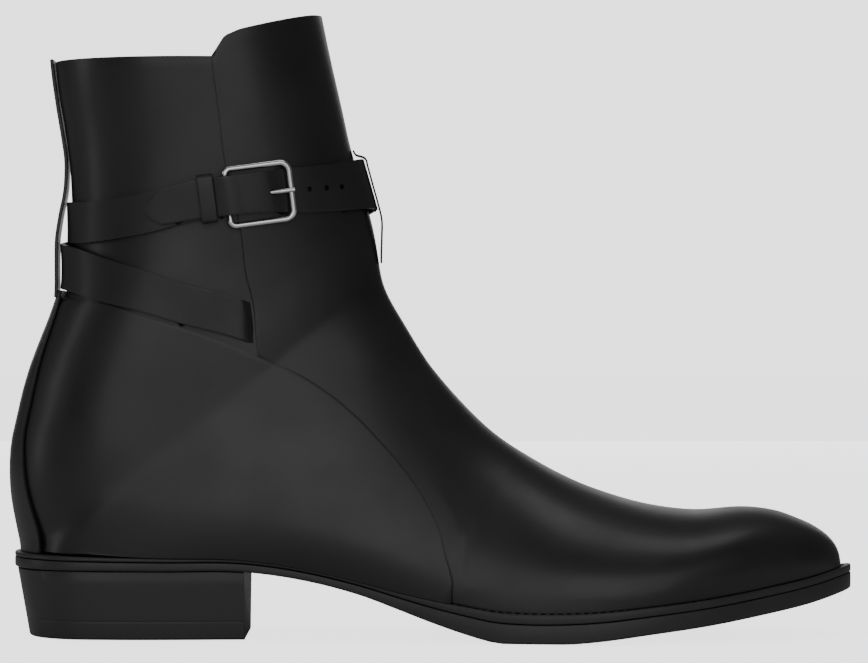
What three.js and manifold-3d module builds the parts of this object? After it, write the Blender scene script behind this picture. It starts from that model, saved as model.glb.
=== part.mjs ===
// A right jodhpur ankle boot: a hollow leather upper drawn over a last, with a
// welted sole, a stacked heel and a strap that wraps the ankle to a wire buckle.
// Millimetres. X runs from the back of the sole to the toe, Y from the outer
// side (minus) to the inner side (plus), Z up from the floor.

import * as THREE from 'three';
import { mergeVertices } from 'three/addons/utils/BufferGeometryUtils.js';
import Module from 'manifold-3d';

const wasm = await Module();
wasm.setup();

// Sizes of the last and the boot
const SOLE_LENGTH = 310;
const BALL_WIDTH = 96.5;
const COLLAR_HEIGHT = 211.5;
const UPPER_WALL = 2.2;
const GAP = 0.3;

// Sizes of the bottom
const HEEL_HEIGHT = 25;
const HEEL_LENGTH = 86.3;
const HEEL_PITCH = 2.6;
const HEEL_TAPER = 1.8;
const HEEL_HOLLOW = 2.5;
const TOE_SPRING = 17;
const WELT_THICKNESS = 3.3;
const WELT_WIDTH = 8.5;
const OUTSOLE_THICKNESS = 7;
const OUTSOLE_BEVEL = 0.8;
const INSOLE_THICKNESS = 3.2;

// Sizes of the leather laid over the upper
const PANEL_STEP = 0.9;
const QUARTER_THICKNESS = 1.4;
const SEAM_MARGIN = 0.5;
const BACKSTAY_THICKNESS = 1.2;
const BACK_STRIP_WIDTH = 11;
const STRAP_WIDTH = 16;
const STRAP_THICKNESS = 1.6;
const HOLE_DIAMETER = 2;
const KEEPER_LENGTH = 5.6;
const KEEPER_THICKNESS = 1.1;
const FRONT_LOOP_WIDTH = 6;
const FRONT_LOOP_THICKNESS = 0.7;

// Sizes of the buckle
const BUCKLE_LENGTH = 23.5;
const BUCKLE_WIDTH = 20.7;
const BUCKLE_CORNER = 3.4;
const BUCKLE_WIRE = 2.2;
const BUCKLE_BAR_WIRE = 1.5;
const PRONG_WIRE = 1.6;

// How finely the round forms are divided
const HALF_COLUMNS = 11;
const CREST_SHARE = 6 / HALF_COLUMNS;
const OUTLINE_STATIONS = 36;
const WIRE_SIDES = 8;
const FAR_APART = 9;

// The outline of the sole: half width and sideways swing, as shares of the
// ball width, at a share of the sole length from the heel
const OUTLINE = [
  { at: 0.0, half: 0.0, swing: 0.0 },
  { at: 0.02, half: 0.21, swing: 0.0 },
  { at: 0.06, half: 0.307, swing: -0.003 },
  { at: 0.12, half: 0.336, swing: -0.005 },
  { at: 0.2, half: 0.331, swing: -0.008 },
  { at: 0.28, half: 0.309, swing: -0.014 },
  { at: 0.36, half: 0.292, swing: -0.03 },
  { at: 0.44, half: 0.311, swing: -0.044 },
  { at: 0.52, half: 0.382, swing: -0.05 },
  { at: 0.6, half: 0.462, swing: -0.04 },
  { at: 0.67, half: 0.5, swing: -0.024 },
  { at: 0.74, half: 0.49, swing: -0.008 },
  { at: 0.81, half: 0.432, swing: 0.006 },
  { at: 0.88, half: 0.337, swing: 0.018 },
  { at: 0.94, half: 0.231, swing: 0.026 },
  { at: 0.98, half: 0.126, swing: 0.031 },
  { at: 1.0, half: 0.0, swing: 0.034 },
];

// The side of the sole: its underside as shares of heel height and toe
// spring, its thickness as a share of the full edge, and how far the upper
// stands in from the edge in millimetres
const BOTTOM = [
  { at: 0.0, heel: 1.02, toe: 0, edge: 0.52, inset: 5.2 },
  { at: 0.06, heel: 1.01, toe: 0, edge: 0.48, inset: 3.9 },
  { at: 0.18, heel: 1.0, toe: 0, edge: 0.44, inset: 3.1 },
  { at: 0.28, heel: 0.985, toe: 0, edge: 0.42, inset: 3.0 },
  { at: 0.33, heel: 0.905, toe: 0, edge: 0.42, inset: 3.0 },
  { at: 0.375, heel: 0.79, toe: 0, edge: 0.43, inset: 3.0 },
  { at: 0.417, heel: 0.645, toe: 0, edge: 0.48, inset: 3.0 },
  { at: 0.459, heel: 0.455, toe: 0, edge: 0.61, inset: 3.1 },
  { at: 0.5, heel: 0.27, toe: 0, edge: 0.78, inset: 3.2 },
  { at: 0.54, heel: 0.11, toe: 0, edge: 0.95, inset: 3.3 },
  { at: 0.57, heel: 0.014, toe: 0, edge: 1.03, inset: 3.4 },
  { at: 0.6, heel: -0.012, toe: 0, edge: 1.04, inset: 3.5 },
  { at: 0.645, heel: -0.008, toe: 0, edge: 1.02, inset: 3.5 },
  { at: 0.69, heel: 0, toe: 0.05, edge: 0.97, inset: 3.5 },
  { at: 0.75, heel: 0, toe: 0.185, edge: 0.92, inset: 3.5 },
  { at: 0.82, heel: 0, toe: 0.34, edge: 0.9, inset: 3.6 },
  { at: 0.89, heel: 0, toe: 0.545, edge: 0.89, inset: 3.6 },
  { at: 0.945, heel: 0, toe: 0.735, edge: 0.88, inset: 3.6 },
  { at: 1.0, heel: 0, toe: 1, edge: 0.85, inset: 3.7 },
];

// The line of the back, from under the heel seat to above the collar: how far
// it stands in from the back of the sole, as a share of the sole length, at a
// share of the height of the upper
const BACK = [
  { at: 0.0, in: 0.0174 },
  { at: 0.05, in: 0.0166 },
  { at: 0.1, in: 0.0106 },
  { at: 0.155, in: 0.0048 },
  { at: 0.2, in: 0.0034 },
  { at: 0.25, in: 0.005 },
  { at: 0.3, in: 0.0115 },
  { at: 0.35, in: 0.0185 },
  { at: 0.4, in: 0.0275 },
  { at: 0.45, in: 0.039 },
  { at: 0.5, in: 0.051 },
  { at: 0.55, in: 0.0608 },
  { at: 0.6, in: 0.0665 },
  { at: 0.66, in: 0.0685 },
  { at: 0.72, in: 0.0678 },
  { at: 0.8, in: 0.065 },
  { at: 0.87, in: 0.0592 },
  { at: 0.94, in: 0.052 },
  { at: 1.0, in: 0.0478 },
  { at: 1.12, in: 0.041 },
];

// The sections of the last, from the toe round the instep to above the collar.
// Each is a slanting slice from its end on the sole edge or the back line up
// to its top on the front line. x and top place the front line as shares of
// sole length and collar height; end counts 0 to 1 along the sole from toe to
// heel, then 1 to 2 up the back; outer and inner are the widest reach to each
// side and ridge the sideways place of the front line, as shares of the ball
// width; wide is where the slice is widest, and over is how square it is above
const SECTIONS = [
  { x: 0.988, top: 0.085, end: 0, outer: -0.034, inner: 0.034, ridge: 0.034, wide: 0.3, over: 2.1 },
  { x: 0.9876, top: 0.122, end: 0.0086, outer: 0.053, inner: 0.119, ridge: 0.034, wide: 0.3, over: 2.1 },
  { x: 0.9838, top: 0.149, end: 0.028, outer: 0.102, inner: 0.164, ridge: 0.034, wide: 0.3, over: 2.15 },
  { x: 0.9735, top: 0.1702, end: 0.055, outer: 0.163, inner: 0.216, ridge: 0.033, wide: 0.3, over: 2.2 },
  { x: 0.9568, top: 0.1882, end: 0.085, outer: 0.226, inner: 0.272, ridge: 0.032, wide: 0.29, over: 2.2 },
  { x: 0.9361, top: 0.2024, end: 0.115, outer: 0.281, inner: 0.32, ridge: 0.031, wide: 0.28, over: 2.2 },
  { x: 0.9065, top: 0.217, end: 0.155, outer: 0.347, inner: 0.374, ridge: 0.029, wide: 0.27, over: 2.15 },
  { x: 0.8677, top: 0.2227, end: 0.2, outer: 0.409, inner: 0.421, ridge: 0.027, wide: 0.27, over: 2.1 },
  { x: 0.8129, top: 0.2175, end: 0.25, outer: 0.465, inner: 0.453, ridge: 0.027, wide: 0.28, over: 2.05 },
  { x: 0.7597, top: 0.2265, end: 0.305, outer: 0.492, inner: 0.46, ridge: 0.028, wide: 0.28, over: 2 },
  { x: 0.711, top: 0.2454, end: 0.365, outer: 0.492, inner: 0.434, ridge: 0.03, wide: 0.28, over: 1.93 },
  { x: 0.6645, top: 0.2714, end: 0.43, outer: 0.466, inner: 0.384, ridge: 0.031, wide: 0.28, over: 1.86 },
  { x: 0.6161, top: 0.3092, end: 0.495, outer: 0.423, inner: 0.333, ridge: 0.031, wide: 0.28, over: 1.82 },
  { x: 0.5716, top: 0.3527, end: 0.565, outer: 0.383, inner: 0.308, ridge: 0.028, wide: 0.28, over: 1.8 },
  { x: 0.5303, top: 0.4113, end: 0.645, outer: 0.361, inner: 0.312, ridge: 0.022, wide: 0.28, over: 1.8 },
  { x: 0.4923, top: 0.4775, end: 0.74, outer: 0.349, inner: 0.326, ridge: 0.014, wide: 0.27, over: 1.82 },
  { x: 0.4629, top: 0.5418, end: 0.85, outer: 0.344, inner: 0.336, ridge: 0.006, wide: 0.265, over: 1.86 },
  { x: 0.4432, top: 0.5891, end: 0.94, outer: 0.341, inner: 0.336, ridge: 0.002, wide: 0.275, over: 1.9 },
  { x: 0.4355, top: 0.6241, end: 1, outer: 0.339, inner: 0.335, ridge: 0, wide: 0.29, over: 1.92 },
  { x: 0.4303, top: 0.669, end: 1.13, outer: 0.336, inner: 0.333, ridge: 0, wide: 0.33, over: 1.95 },
  { x: 0.4245, top: 0.7116, end: 1.28, outer: 0.332, inner: 0.33, ridge: 0, wide: 0.37, over: 1.97 },
  { x: 0.4158, top: 0.7589, end: 1.43, outer: 0.33, inner: 0.33, ridge: 0, wide: 0.42, over: 2 },
  { x: 0.4071, top: 0.8038, end: 1.58, outer: 0.335, inner: 0.335, ridge: 0, wide: 0.46, over: 2 },
  { x: 0.3971, top: 0.8558, end: 1.72, outer: 0.347, inner: 0.347, ridge: 0, wide: 0.48, over: 2 },
  { x: 0.3868, top: 0.9243, end: 1.86, outer: 0.366, inner: 0.366, ridge: 0, wide: 0.49, over: 2 },
  { x: 0.3742, top: 1.0052, end: 2.0, outer: 0.386, inner: 0.386, ridge: 0, wide: 0.5, over: 2 },
  { x: 0.3606, top: 1.1017, end: 2.12, outer: 0.4, inner: 0.4, ridge: 0, wide: 0.5, over: 2 },
];

// How far the form runs down past the sole edge before it is trimmed
const FORM_DROP = 8;

// The edge of the front panel on the leg, the top of the leg and the seam of
// the quarter, in the side view: x as shares of sole length, z of collar height
const PANEL_EDGE = [
  { x: 0.2405, z: 1.15 },
  { x: 0.2415, z: 1.0 },
  { x: 0.2494, z: 0.906 },
  { x: 0.2552, z: 0.831 },
  { x: 0.2752, z: 0.694 },
  { x: 0.281, z: 0.622 },
  { x: 0.2877, z: 0.584 },
  { x: 0.2926, z: 0.506 },
  { x: 0.3, z: 0.42 },
];
const TAB_TOP = [
  { x: 0.2455, z: 1.0 },
  { x: 0.2471, z: 1.014 },
  { x: 0.2561, z: 1.035 },
  { x: 0.2735, z: 1.047 },
  { x: 0.309, z: 1.061 },
  { x: 0.3532, z: 1.078 },
  { x: 0.42, z: 1.095 },
];
const QUARTER_SEAM = [
  { x: 0.5213, z: 0.06 },
  { x: 0.52, z: 0.118 },
  { x: 0.5152, z: 0.137 },
  { x: 0.5061, z: 0.189 },
  { x: 0.4861, z: 0.247 },
  { x: 0.4629, z: 0.2955 },
  { x: 0.4384, z: 0.3366 },
  { x: 0.4094, z: 0.381 },
  { x: 0.371, z: 0.4274 },
  { x: 0.3326, z: 0.4615 },
  { x: 0.2939, z: 0.4856 },
];
const QUARTER_TOP = [
  { x: 0.2742, z: 0.4995 },
  { x: 0.2194, z: 0.529 },
  { x: 0.1548, z: 0.557 },
  { x: 0.1, z: 0.579 },
  { x: -0.05, z: 0.6 },
];

// The widening patch down the back: half width as a share of the ball width
const BACK_PATCH = [
  { z: 0.598, half: 0.075 },
  { z: 0.534, half: 0.1036 },
  { z: 0.43, half: 0.14 },
  { z: 0.355, half: 0.15 },
  { z: 0.303, half: 0.161 },
  { z: 0.241, half: 0.176 },
  { z: 0.184, half: 0.197 },
  { z: 0.1, half: 0.22 },
];

// The free loop of the back strip, on its inner face: x in shares of sole
// length, z of collar height
const BACK_LOOP = [
  { x: 0.0632, z: 0.79 },
  { x: 0.061, z: 0.763 },
  { x: 0.0577, z: 0.741 },
  { x: 0.0548, z: 0.717 },
  { x: 0.0523, z: 0.69 },
  { x: 0.0519, z: 0.662 },
  { x: 0.0519, z: 0.632 },
  { x: 0.0519, z: 0.607 },
  { x: 0.0513, z: 0.589 },
];

// The long strap, from its seam on the outer side round the back, the inner
// side and the front to its pointed end. around is in degrees from the back,
// through the inner side; middle is its centre line as a share of collar
// height; width a share of the strap width; lift the space under it and lean
// how much more of it there is under the upper edge
const WRAP_STRAP = [
  { around: -97, middle: 0.5475, width: 0.96, lift: 0.4, lean: 0 },
  { around: -90, middle: 0.559, width: 0.94, lift: 0.4, lean: 0 },
  { around: -76, middle: 0.578, width: 0.92, lift: 0.4, lean: 0 },
  { around: -62, middle: 0.598, width: 0.93, lift: 0.4, lean: 0 },
  { around: -48, middle: 0.613, width: 0.97, lift: 0.5, lean: 0.1 },
  { around: -34, middle: 0.627, width: 1.02, lift: 0.9, lean: 0.4 },
  { around: -20, middle: 0.637, width: 1.04, lift: 1.4, lean: 0.8 },
  { around: -8, middle: 0.641, width: 1.04, lift: 1.9, lean: 1.1 },
  { around: 4, middle: 0.645, width: 1.04, lift: 1.9, lean: 1.1 },
  { around: 16, middle: 0.65, width: 1.04, lift: 2.0, lean: 0.8 },
  { around: 30, middle: 0.658, width: 1.03, lift: 2.3, lean: 0.3 },
  { around: 45, middle: 0.668, width: 1.02, lift: 2.4, lean: 0 },
  { around: 60, middle: 0.68, width: 1.0, lift: 2.4, lean: 0 },
  { around: 75, middle: 0.693, width: 1.0, lift: 2.0, lean: 0 },
  { around: 90, middle: 0.707, width: 1.0, lift: 1.6, lean: 0 },
  { around: 105, middle: 0.722, width: 1.01, lift: 1.4, lean: 0 },
  { around: 120, middle: 0.737, width: 1.03, lift: 1.4, lean: 0 },
  { around: 135, middle: 0.751, width: 1.05, lift: 1.5, lean: 0 },
  { around: 148, middle: 0.763, width: 1.08, lift: 1.8, lean: 0 },
  { around: 160, middle: 0.773, width: 1.11, lift: 2.3, lean: 0 },
  { around: 170, middle: 0.779, width: 1.13, lift: 2.7, lean: 0 },
  { around: 180, middle: 0.782, width: 1.14, lift: 2.8, lean: 0 },
  { around: 190, middle: 0.783, width: 1.12, lift: 2.6, lean: 0 },
  { around: 200, middle: 0.782, width: 1.09, lift: 2.1, lean: 0 },
  { around: 212, middle: 0.779, width: 1.06, lift: 1.6, lean: 0 },
  { around: 224, middle: 0.776, width: 1.03, lift: 1.2, lean: 0 },
  { around: 234, middle: 0.7735, width: 1.01, lift: 1.2, lean: 0 },
  { around: 240, middle: 0.772, width: 0.97, lift: 1.2, lean: 0 },
  { around: 244, middle: 0.771, width: 0.93, lift: 1.9, lean: 0 },
  { around: 248, middle: 0.77, width: 0.9, lift: 2.9, lean: 0 },
  { around: 253, middle: 0.768, width: 0.88, lift: 3.3, lean: 0 },
  { around: 259, middle: 0.7655, width: 0.87, lift: 3.7, lean: 0 },
  { around: 264.5, middle: 0.7625, width: 0.86, lift: 4.25, lean: 0 },
  { around: 268, middle: 0.7603, width: 0.86, lift: 3.2, lean: 0 },
  { around: 271, middle: 0.7585, width: 0.86, lift: 2.5, lean: 0 },
  { around: 277, middle: 0.755, width: 0.85, lift: 2.4, lean: 0 },
  { around: 284, middle: 0.748, width: 0.82, lift: 2.4, lean: 0 },
  { around: 290, middle: 0.7425, width: 0.79, lift: 2.4, lean: 0 },
  { around: 293.5, middle: 0.7385, width: 0.44, lift: 2.4, lean: 0 },
  { around: 297, middle: 0.7365, width: 0.06, lift: 2.4, lean: 0 },
];

// The buckle strap, from its seam on the inner side round the back to the bar
const BUCKLE_STRAP = [
  { around: 97, middle: 0.5475, width: 0.96, lift: 0.4, lean: 0 },
  { around: 88, middle: 0.563, width: 0.96, lift: 0.4, lean: 0 },
  { around: 74, middle: 0.598, width: 0.96, lift: 0.4, lean: 0 },
  { around: 60, middle: 0.633, width: 0.96, lift: 0.4, lean: 0 },
  { around: 46, middle: 0.666, width: 0.96, lift: 0.4, lean: 0 },
  { around: 32, middle: 0.692, width: 0.96, lift: 0.4, lean: 0 },
  { around: 18, middle: 0.71, width: 0.95, lift: 0.4, lean: 0 },
  { around: 6, middle: 0.718, width: 0.94, lift: 0.4, lean: 0 },
  { around: -6, middle: 0.72, width: 0.94, lift: 0.4, lean: 0 },
  { around: -18, middle: 0.719, width: 0.95, lift: 0.4, lean: 0 },
  { around: -30, middle: 0.718, width: 0.95, lift: 0.4, lean: 0 },
  { around: -42, middle: 0.721, width: 0.94, lift: 0.4, lean: 0 },
  { around: -54, middle: 0.727, width: 0.92, lift: 0.4, lean: 0 },
  { around: -66, middle: 0.735, width: 0.91, lift: 0.4, lean: 0 },
  { around: -77, middle: 0.7475, width: 0.9, lift: 0.4, lean: 0 },
  { around: -88, middle: 0.7565, width: 0.88, lift: 0.4, lean: 0 },
  { around: -96, middle: 0.7605, width: 0.86, lift: 0.4, lean: 0 },
];

// Where the fittings sit: the bars and holes as degrees around the leg and a
// share of collar height
const BUCKLE_BAR = { around: -95.6, height: 0.7585 };
const BUCKLE_NOSE = { around: -120.9, height: 0.7735 };
const KEEPER_PLACE = { around: -87.8, height: 0.7572 };
const KEEPER_AHEAD = { around: -93, height: 0.7602 };
const STRAP_HOLES = [
  { around: 230.5, height: 0.7745 },
  { around: 221.5, height: 0.7768 },
  { around: 212.5, height: 0.7788 },
];

// Colours and surfaces
const LEATHER = { color: 0x1c1c1d, roughness: 0.36, metalness: 0 };
const STRAP_LEATHER = { color: 0x1e1e1f, roughness: 0.42, metalness: 0 };
const EDGE_LEATHER = { color: 0x222223, roughness: 0.45, metalness: 0 };
const LINING = { color: 0x2b2622, roughness: 0.7, metalness: 0 };
const STEEL = { color: 0xc9c9c9, roughness: 0.18, metalness: 1 };

const OUTER = -1;
const INNER = 1;
const DEGREE = Math.PI / 180;

// Smooth curve through the rows of a table, read at any place between them
function along(rows, place, at, column) {
  let i = 0;
  while (i < rows.length - 2 && at(rows[i + 1], i + 1) < place) i += 1;
  const slope = (k) => {
    const rise = rows[k + 1][column] - rows[k][column];
    return rise / (at(rows[k + 1], k + 1) - at(rows[k], k));
  };
  const tangent = (k) => {
    if (k === 0) return slope(0);
    if (k === rows.length - 1) return slope(k - 1);
    const before = at(rows[k], k) - at(rows[k - 1], k - 1);
    const after = at(rows[k + 1], k + 1) - at(rows[k], k);
    return (slope(k - 1) * after + slope(k) * before) / (before + after);
  };
  const start = at(rows[i], i);
  const span = at(rows[i + 1], i + 1) - start;
  const u = (place - start) / span;
  const fromRow = rows[i][column] * (1 + 2 * u) * (1 - u) ** 2;
  const toRow = rows[i + 1][column] * (3 - 2 * u) * u ** 2;
  const leaving = tangent(i) * span * u * (1 - u) ** 2;
  const arriving = tangent(i + 1) * span * u ** 2 * (u - 1);
  return fromRow + toRow + leaving + arriving;
}

const byShare = (row) => row.at;
const byOrder = (row, order) => order;
const byTurn = (row) => Math.acos(1 - 2 * row.at);
const byAngle = (row) => row.around;

// A place on the sole's outline, moved in from the edge. The turn runs from 0
// at the back of the heel to pi at the toe
function outlinePoint(turn, side, inset) {
  const place = (angle) => {
    const half = along(OUTLINE, angle, byTurn, 'half') * BALL_WIDTH;
    const swing = along(OUTLINE, angle, byTurn, 'swing') * BALL_WIDTH;
    return new THREE.Vector2(SOLE_LENGTH * (1 - Math.cos(angle)) / 2, swing + side * half);
  };
  const step = 0.002;
  const ahead = place(Math.min(turn + step, Math.PI));
  const behind = place(Math.max(turn - step, 0));
  const course = ahead.sub(behind).normalize();
  const outward = new THREE.Vector2(-course.y, course.x).multiplyScalar(side);
  return place(turn).addScaledVector(outward, -inset);
}

const soleShare = (x) => THREE.MathUtils.clamp(x / SOLE_LENGTH, 0, 1);
const bottomColumn = (x, column) => along(BOTTOM, soleShare(x), byShare, column);

// The sweep of the bottom, and the same with its tread worn flat on the floor
function bottomSweep(x) {
  return bottomColumn(x, 'heel') * HEEL_HEIGHT + bottomColumn(x, 'toe') * TOE_SPRING;
}

const soleUnderside = (x) => Math.max(0, bottomSweep(x));
const outsoleTop = (x) => bottomSweep(x) + bottomColumn(x, 'edge') * OUTSOLE_THICKNESS;
const weltUnderside = (x) => outsoleTop(x) + GAP;
const weltTop = (x) => weltUnderside(x) + bottomColumn(x, 'edge') * WELT_THICKNESS;
const upperFoot = (x) => weltTop(x) + GAP;

const backFoot = weltTop(0) - FORM_DROP;
const backHeight = (share) => backFoot + share * (COLLAR_HEIGHT - backFoot);
const backLine = (z) => {
  const share = (z - backFoot) / (COLLAR_HEIGHT - backFoot);
  return along(BACK, share, byShare, 'in') * SOLE_LENGTH;
};

// One slanting slice of the last, with its end on each side
function sectionAt(order) {
  const value = (column) => along(SECTIONS, order, byOrder, column);
  const end = value('end');
  const ridge = value('ridge') * BALL_WIDTH;
  const ends = [OUTER, INNER].map((side) => {
    if (end >= 1) {
      const z = backHeight(end - 1);
      return new THREE.Vector3(backLine(z), ridge, z);
    }
    const turn = Math.acos(2 * Math.max(end, 0) - 1);
    const inset = bottomColumn((1 - end) * SOLE_LENGTH, 'inset');
    const foot = outlinePoint(turn, side, inset);
    return new THREE.Vector3(foot.x, foot.y, weltTop(foot.x) - FORM_DROP);
  });
  return {
    top: new THREE.Vector3(value('x') * SOLE_LENGTH, ridge, value('top') * COLLAR_HEIGHT),
    ends,
    reach: [ridge + value('outer') * BALL_WIDTH, value('inner') * BALL_WIDTH - ridge],
    wide: value('wide'),
    over: value('over'),
  };
}

// How the slice narrows below its widest place, so that it meets its end
function tuckDepth(section, which) {
  const reach = Math.max(section.reach[which], 0.001);
  const endReach = Math.abs(section.ends[which].y - section.top.y);
  const share = Math.min(endReach / reach, 0.985);
  return section.wide / Math.sqrt(1 - share ** 2);
}

// A place on one half of a slice, at a share of the way from its top to its
// end: a squared ellipse above the widest place and a plain one below
function halfSlicePoint(section, which, share) {
  const side = which === 0 ? OUTER : INNER;
  const place = (height, reach) => {
    const point = section.ends[which].clone().lerp(section.top, height);
    point.y = section.top.y + side * section.reach[which] * reach;
    return point;
  };
  if (share < CREST_SHARE) {
    const angle = (1 - share / CREST_SHARE) * Math.PI / 2;
    const rise = Math.sin(angle) ** (2 / section.over);
    const reach = Math.max(Math.cos(angle), 0) ** (2 / section.over);
    return place(section.wide + (1 - section.wide) * rise, reach);
  }
  const fall = Math.sin((share - CREST_SHARE) / (1 - CREST_SHARE) * Math.PI / 2);
  const tuck = section.wide * fall / tuckDepth(section, which);
  return place(section.wide * (1 - fall), Math.sqrt(Math.max(1 - tuck ** 2, 0)));
}

// A place on the last: across runs from -1 at the outer end over the front
// line at 0 to 1 at the inner end, and past the back line when it closes
function skinPoint(order, across) {
  const section = sectionAt(order);
  if (order === 0) return section.ends[0].clone();
  const closed = section.ends[0].distanceTo(section.ends[1]) < 0.01;
  let place = across;
  if (closed && place > 1) place -= 2;
  if (closed && place < -1) place += 2;
  place = THREE.MathUtils.clamp(place, -1, 1);
  return halfSlicePoint(section, place < 0 ? 0 : 1, Math.abs(place));
}

function skinNormal(order, across) {
  if (order < 0.02) return new THREE.Vector3(1, 0, 0);
  const last = SECTIONS.length - 1;
  const up = skinPoint(Math.min(order + 0.06, last), across);
  const down = skinPoint(Math.max(order - 0.06, 0), across);
  const inner = skinPoint(order, across + 0.04);
  const outer = skinPoint(order, across - 0.04);
  return inner.sub(outer).cross(up.sub(down)).normalize();
}

// The slices that the solids are built on: every row of the table, more where
// the foot turns into the leg and most round the back of the heel
const HEEL_ROW = 17;
const SLICES = [];
for (let order = 0; order < SECTIONS.length - 1; order += 1) {
  const cuts = order < 10 || order > 23 ? 1 : 2;
  if (order === HEEL_ROW) {
    for (let k = 0; k < 5; k += 1) SLICES.push(order + Math.sin(Math.PI * k / 10));
  } else {
    for (let k = 0; k < cuts; k += 1) SLICES.push(order + k / cuts);
  }
}
SLICES.push(SECTIONS.length - 1);

// The places across a slice, from the outer end to the inner end
const COLUMNS = [];
for (let k = -HALF_COLUMNS; k <= HALF_COLUMNS; k += 1) COLUMNS.push(k / HALF_COLUMNS);
const skinRings = SLICES.map((order) => COLUMNS.map((across) => (
  { point: skinPoint(order, across), normal: skinNormal(order, across), order }
)));

// A closed mesh from its corners and faces, with touching corners merged
function closedGeometry(corners, faces) {
  const loose = new THREE.BufferGeometry();
  const numbers = corners.flatMap((corner) => corner.toArray());
  loose.setAttribute('position', new THREE.Float32BufferAttribute(numbers, 3));
  loose.setIndex(faces.flat());
  const merged = mergeVertices(loose, 0.001);
  const index = merged.index.array;
  const kept = [];
  for (let k = 0; k < index.length; k += 3) {
    const [a, b, c] = [index[k], index[k + 1], index[k + 2]];
    if (a !== b && b !== c && c !== a) kept.push(a, b, c);
  }
  merged.setIndex(kept);
  return merged;
}

// Faces that join rings of equal count, one after another
function ringFaces(ringCount, count) {
  const faces = [];
  for (let i = 0; i < ringCount - 1; i += 1) {
    for (let k = 0; k < count; k += 1) {
      const next = (k + 1) % count;
      const [a, b] = [i * count + k, i * count + next];
      faces.push([a, b, b + count], [a, b + count, a + count]);
    }
  }
  return faces;
}

// A fan of faces from one corner to a ring
function fanFaces(first, count, centre, turned) {
  const faces = [];
  for (let k = 0; k < count; k += 1) {
    const next = (k + 1) % count;
    faces.push(turned ? [centre, first + k, first + next] : [centre, first + next, first + k]);
  }
  return faces;
}

function solidFrom(geometry) {
  const bare = geometry.clone();
  bare.deleteAttribute('normal');
  bare.deleteAttribute('uv');
  const merged = mergeVertices(bare, 0.0001);
  const mesh = new wasm.Mesh({
    numProp: 3,
    vertProperties: new Float32Array(merged.attributes.position.array),
    triVerts: new Uint32Array(merged.index.array),
  });
  return new wasm.Manifold(mesh);
}

function geometryOf(solid) {
  const mesh = solid.getMesh();
  const geometry = new THREE.BufferGeometry();
  geometry.setAttribute('position', new THREE.BufferAttribute(new Float32Array(mesh.vertProperties), 3));
  geometry.setIndex(new THREE.BufferAttribute(new Uint32Array(mesh.triVerts), 1));
  geometry.computeVertexNormals();
  return geometry;
}

// The last as a solid, grown outwards by an offset that may follow the slices
function form(offset) {
  const grown = typeof offset === 'function' ? offset : () => offset;
  const corners = [];
  skinRings.forEach((ring) => ring.forEach(({ point, normal, order }) => {
    corners.push(point.clone().addScaledVector(normal, grown(order)));
  }));
  const count = COLUMNS.length;
  const faces = ringFaces(skinRings.length, count);
  const lastRing = (skinRings.length - 1) * count;
  const centre = new THREE.Vector3();
  corners.slice(lastRing).forEach((corner) => centre.addScaledVector(corner, 1 / count));
  corners.push(centre);
  faces.push(...fanFaces(lastRing, count, corners.length - 1, true));
  return solidFrom(closedGeometry(corners, faces));
}

// A prism across the boot from an outline in the side view
function sidePrism(points, from = -BALL_WIDTH, to = BALL_WIDTH) {
  const shape = new THREE.Shape(points.map(({ x, z }) => new THREE.Vector2(x, z)));
  const geometry = new THREE.ExtrudeGeometry(shape, { depth: to - from, bevelEnabled: false });
  geometry.rotateX(Math.PI / 2);
  geometry.translate(0, to, 0);
  return solidFrom(geometry);
}

const inShares = ({ x, z }) => ({ x: x * SOLE_LENGTH, z: z * COLLAR_HEIGHT });

// The space of the upper in the side view: above the welt, below the top line
function upperSpace() {
  const points = [];
  for (let k = 0; k <= OUTLINE_STATIONS; k += 1) {
    const x = SOLE_LENGTH * k / OUTLINE_STATIONS;
    points.push({ x, z: upperFoot(x) });
  }
  const beyond = SOLE_LENGTH * 0.1;
  points.push({ x: SOLE_LENGTH + beyond, z: upperFoot(SOLE_LENGTH) });
  points.push({ x: SOLE_LENGTH + beyond, z: COLLAR_HEIGHT * TAB_TOP[TAB_TOP.length - 1].z });
  [...TAB_TOP].reverse().forEach((row) => points.push(inShares(row)));
  points.push({ x: -beyond, z: COLLAR_HEIGHT });
  points.push({ x: -beyond, z: upperFoot(0) });
  return sidePrism(points);
}

// The front panel stands proud of the leg, and dies away over the instep
function panelRise(order) {
  const start = 13.5;
  const finish = 17.5;
  const share = THREE.MathUtils.smoothstep(order, start, finish);
  return THREE.MathUtils.lerp(-PANEL_STEP, PANEL_STEP, share);
}

function frontPanelSpace() {
  const points = PANEL_EDGE.map(inShares);
  points.push({ x: SOLE_LENGTH, z: points[points.length - 1].z });
  points.push({ x: SOLE_LENGTH, z: points[0].z });
  return sidePrism(points);
}

// The outline of the quarter in the side view, grown by a margin
function quarterSpace(margin) {
  const points = [...QUARTER_SEAM, ...QUARTER_TOP].map(inShares);
  points.forEach((corner) => {
    corner.x += margin;
    corner.z += margin;
  });
  points.push({ x: points[points.length - 1].x, z: 0 });
  points.push({ x: points[0].x, z: 0 });
  return sidePrism(points);
}

const space = upperSpace();

function makeUpper() {
  const panel = form(panelRise).intersect(frontPanelSpace()).subtract(quarterSpace(SEAM_MARGIN));
  return form(0).add(panel).subtract(form(-UPPER_WALL)).intersect(space);
}

function makeQuarter() {
  const shell = form(GAP + QUARTER_THICKNESS).subtract(form(GAP));
  return shell.intersect(quarterSpace(0)).intersect(space);
}

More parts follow.
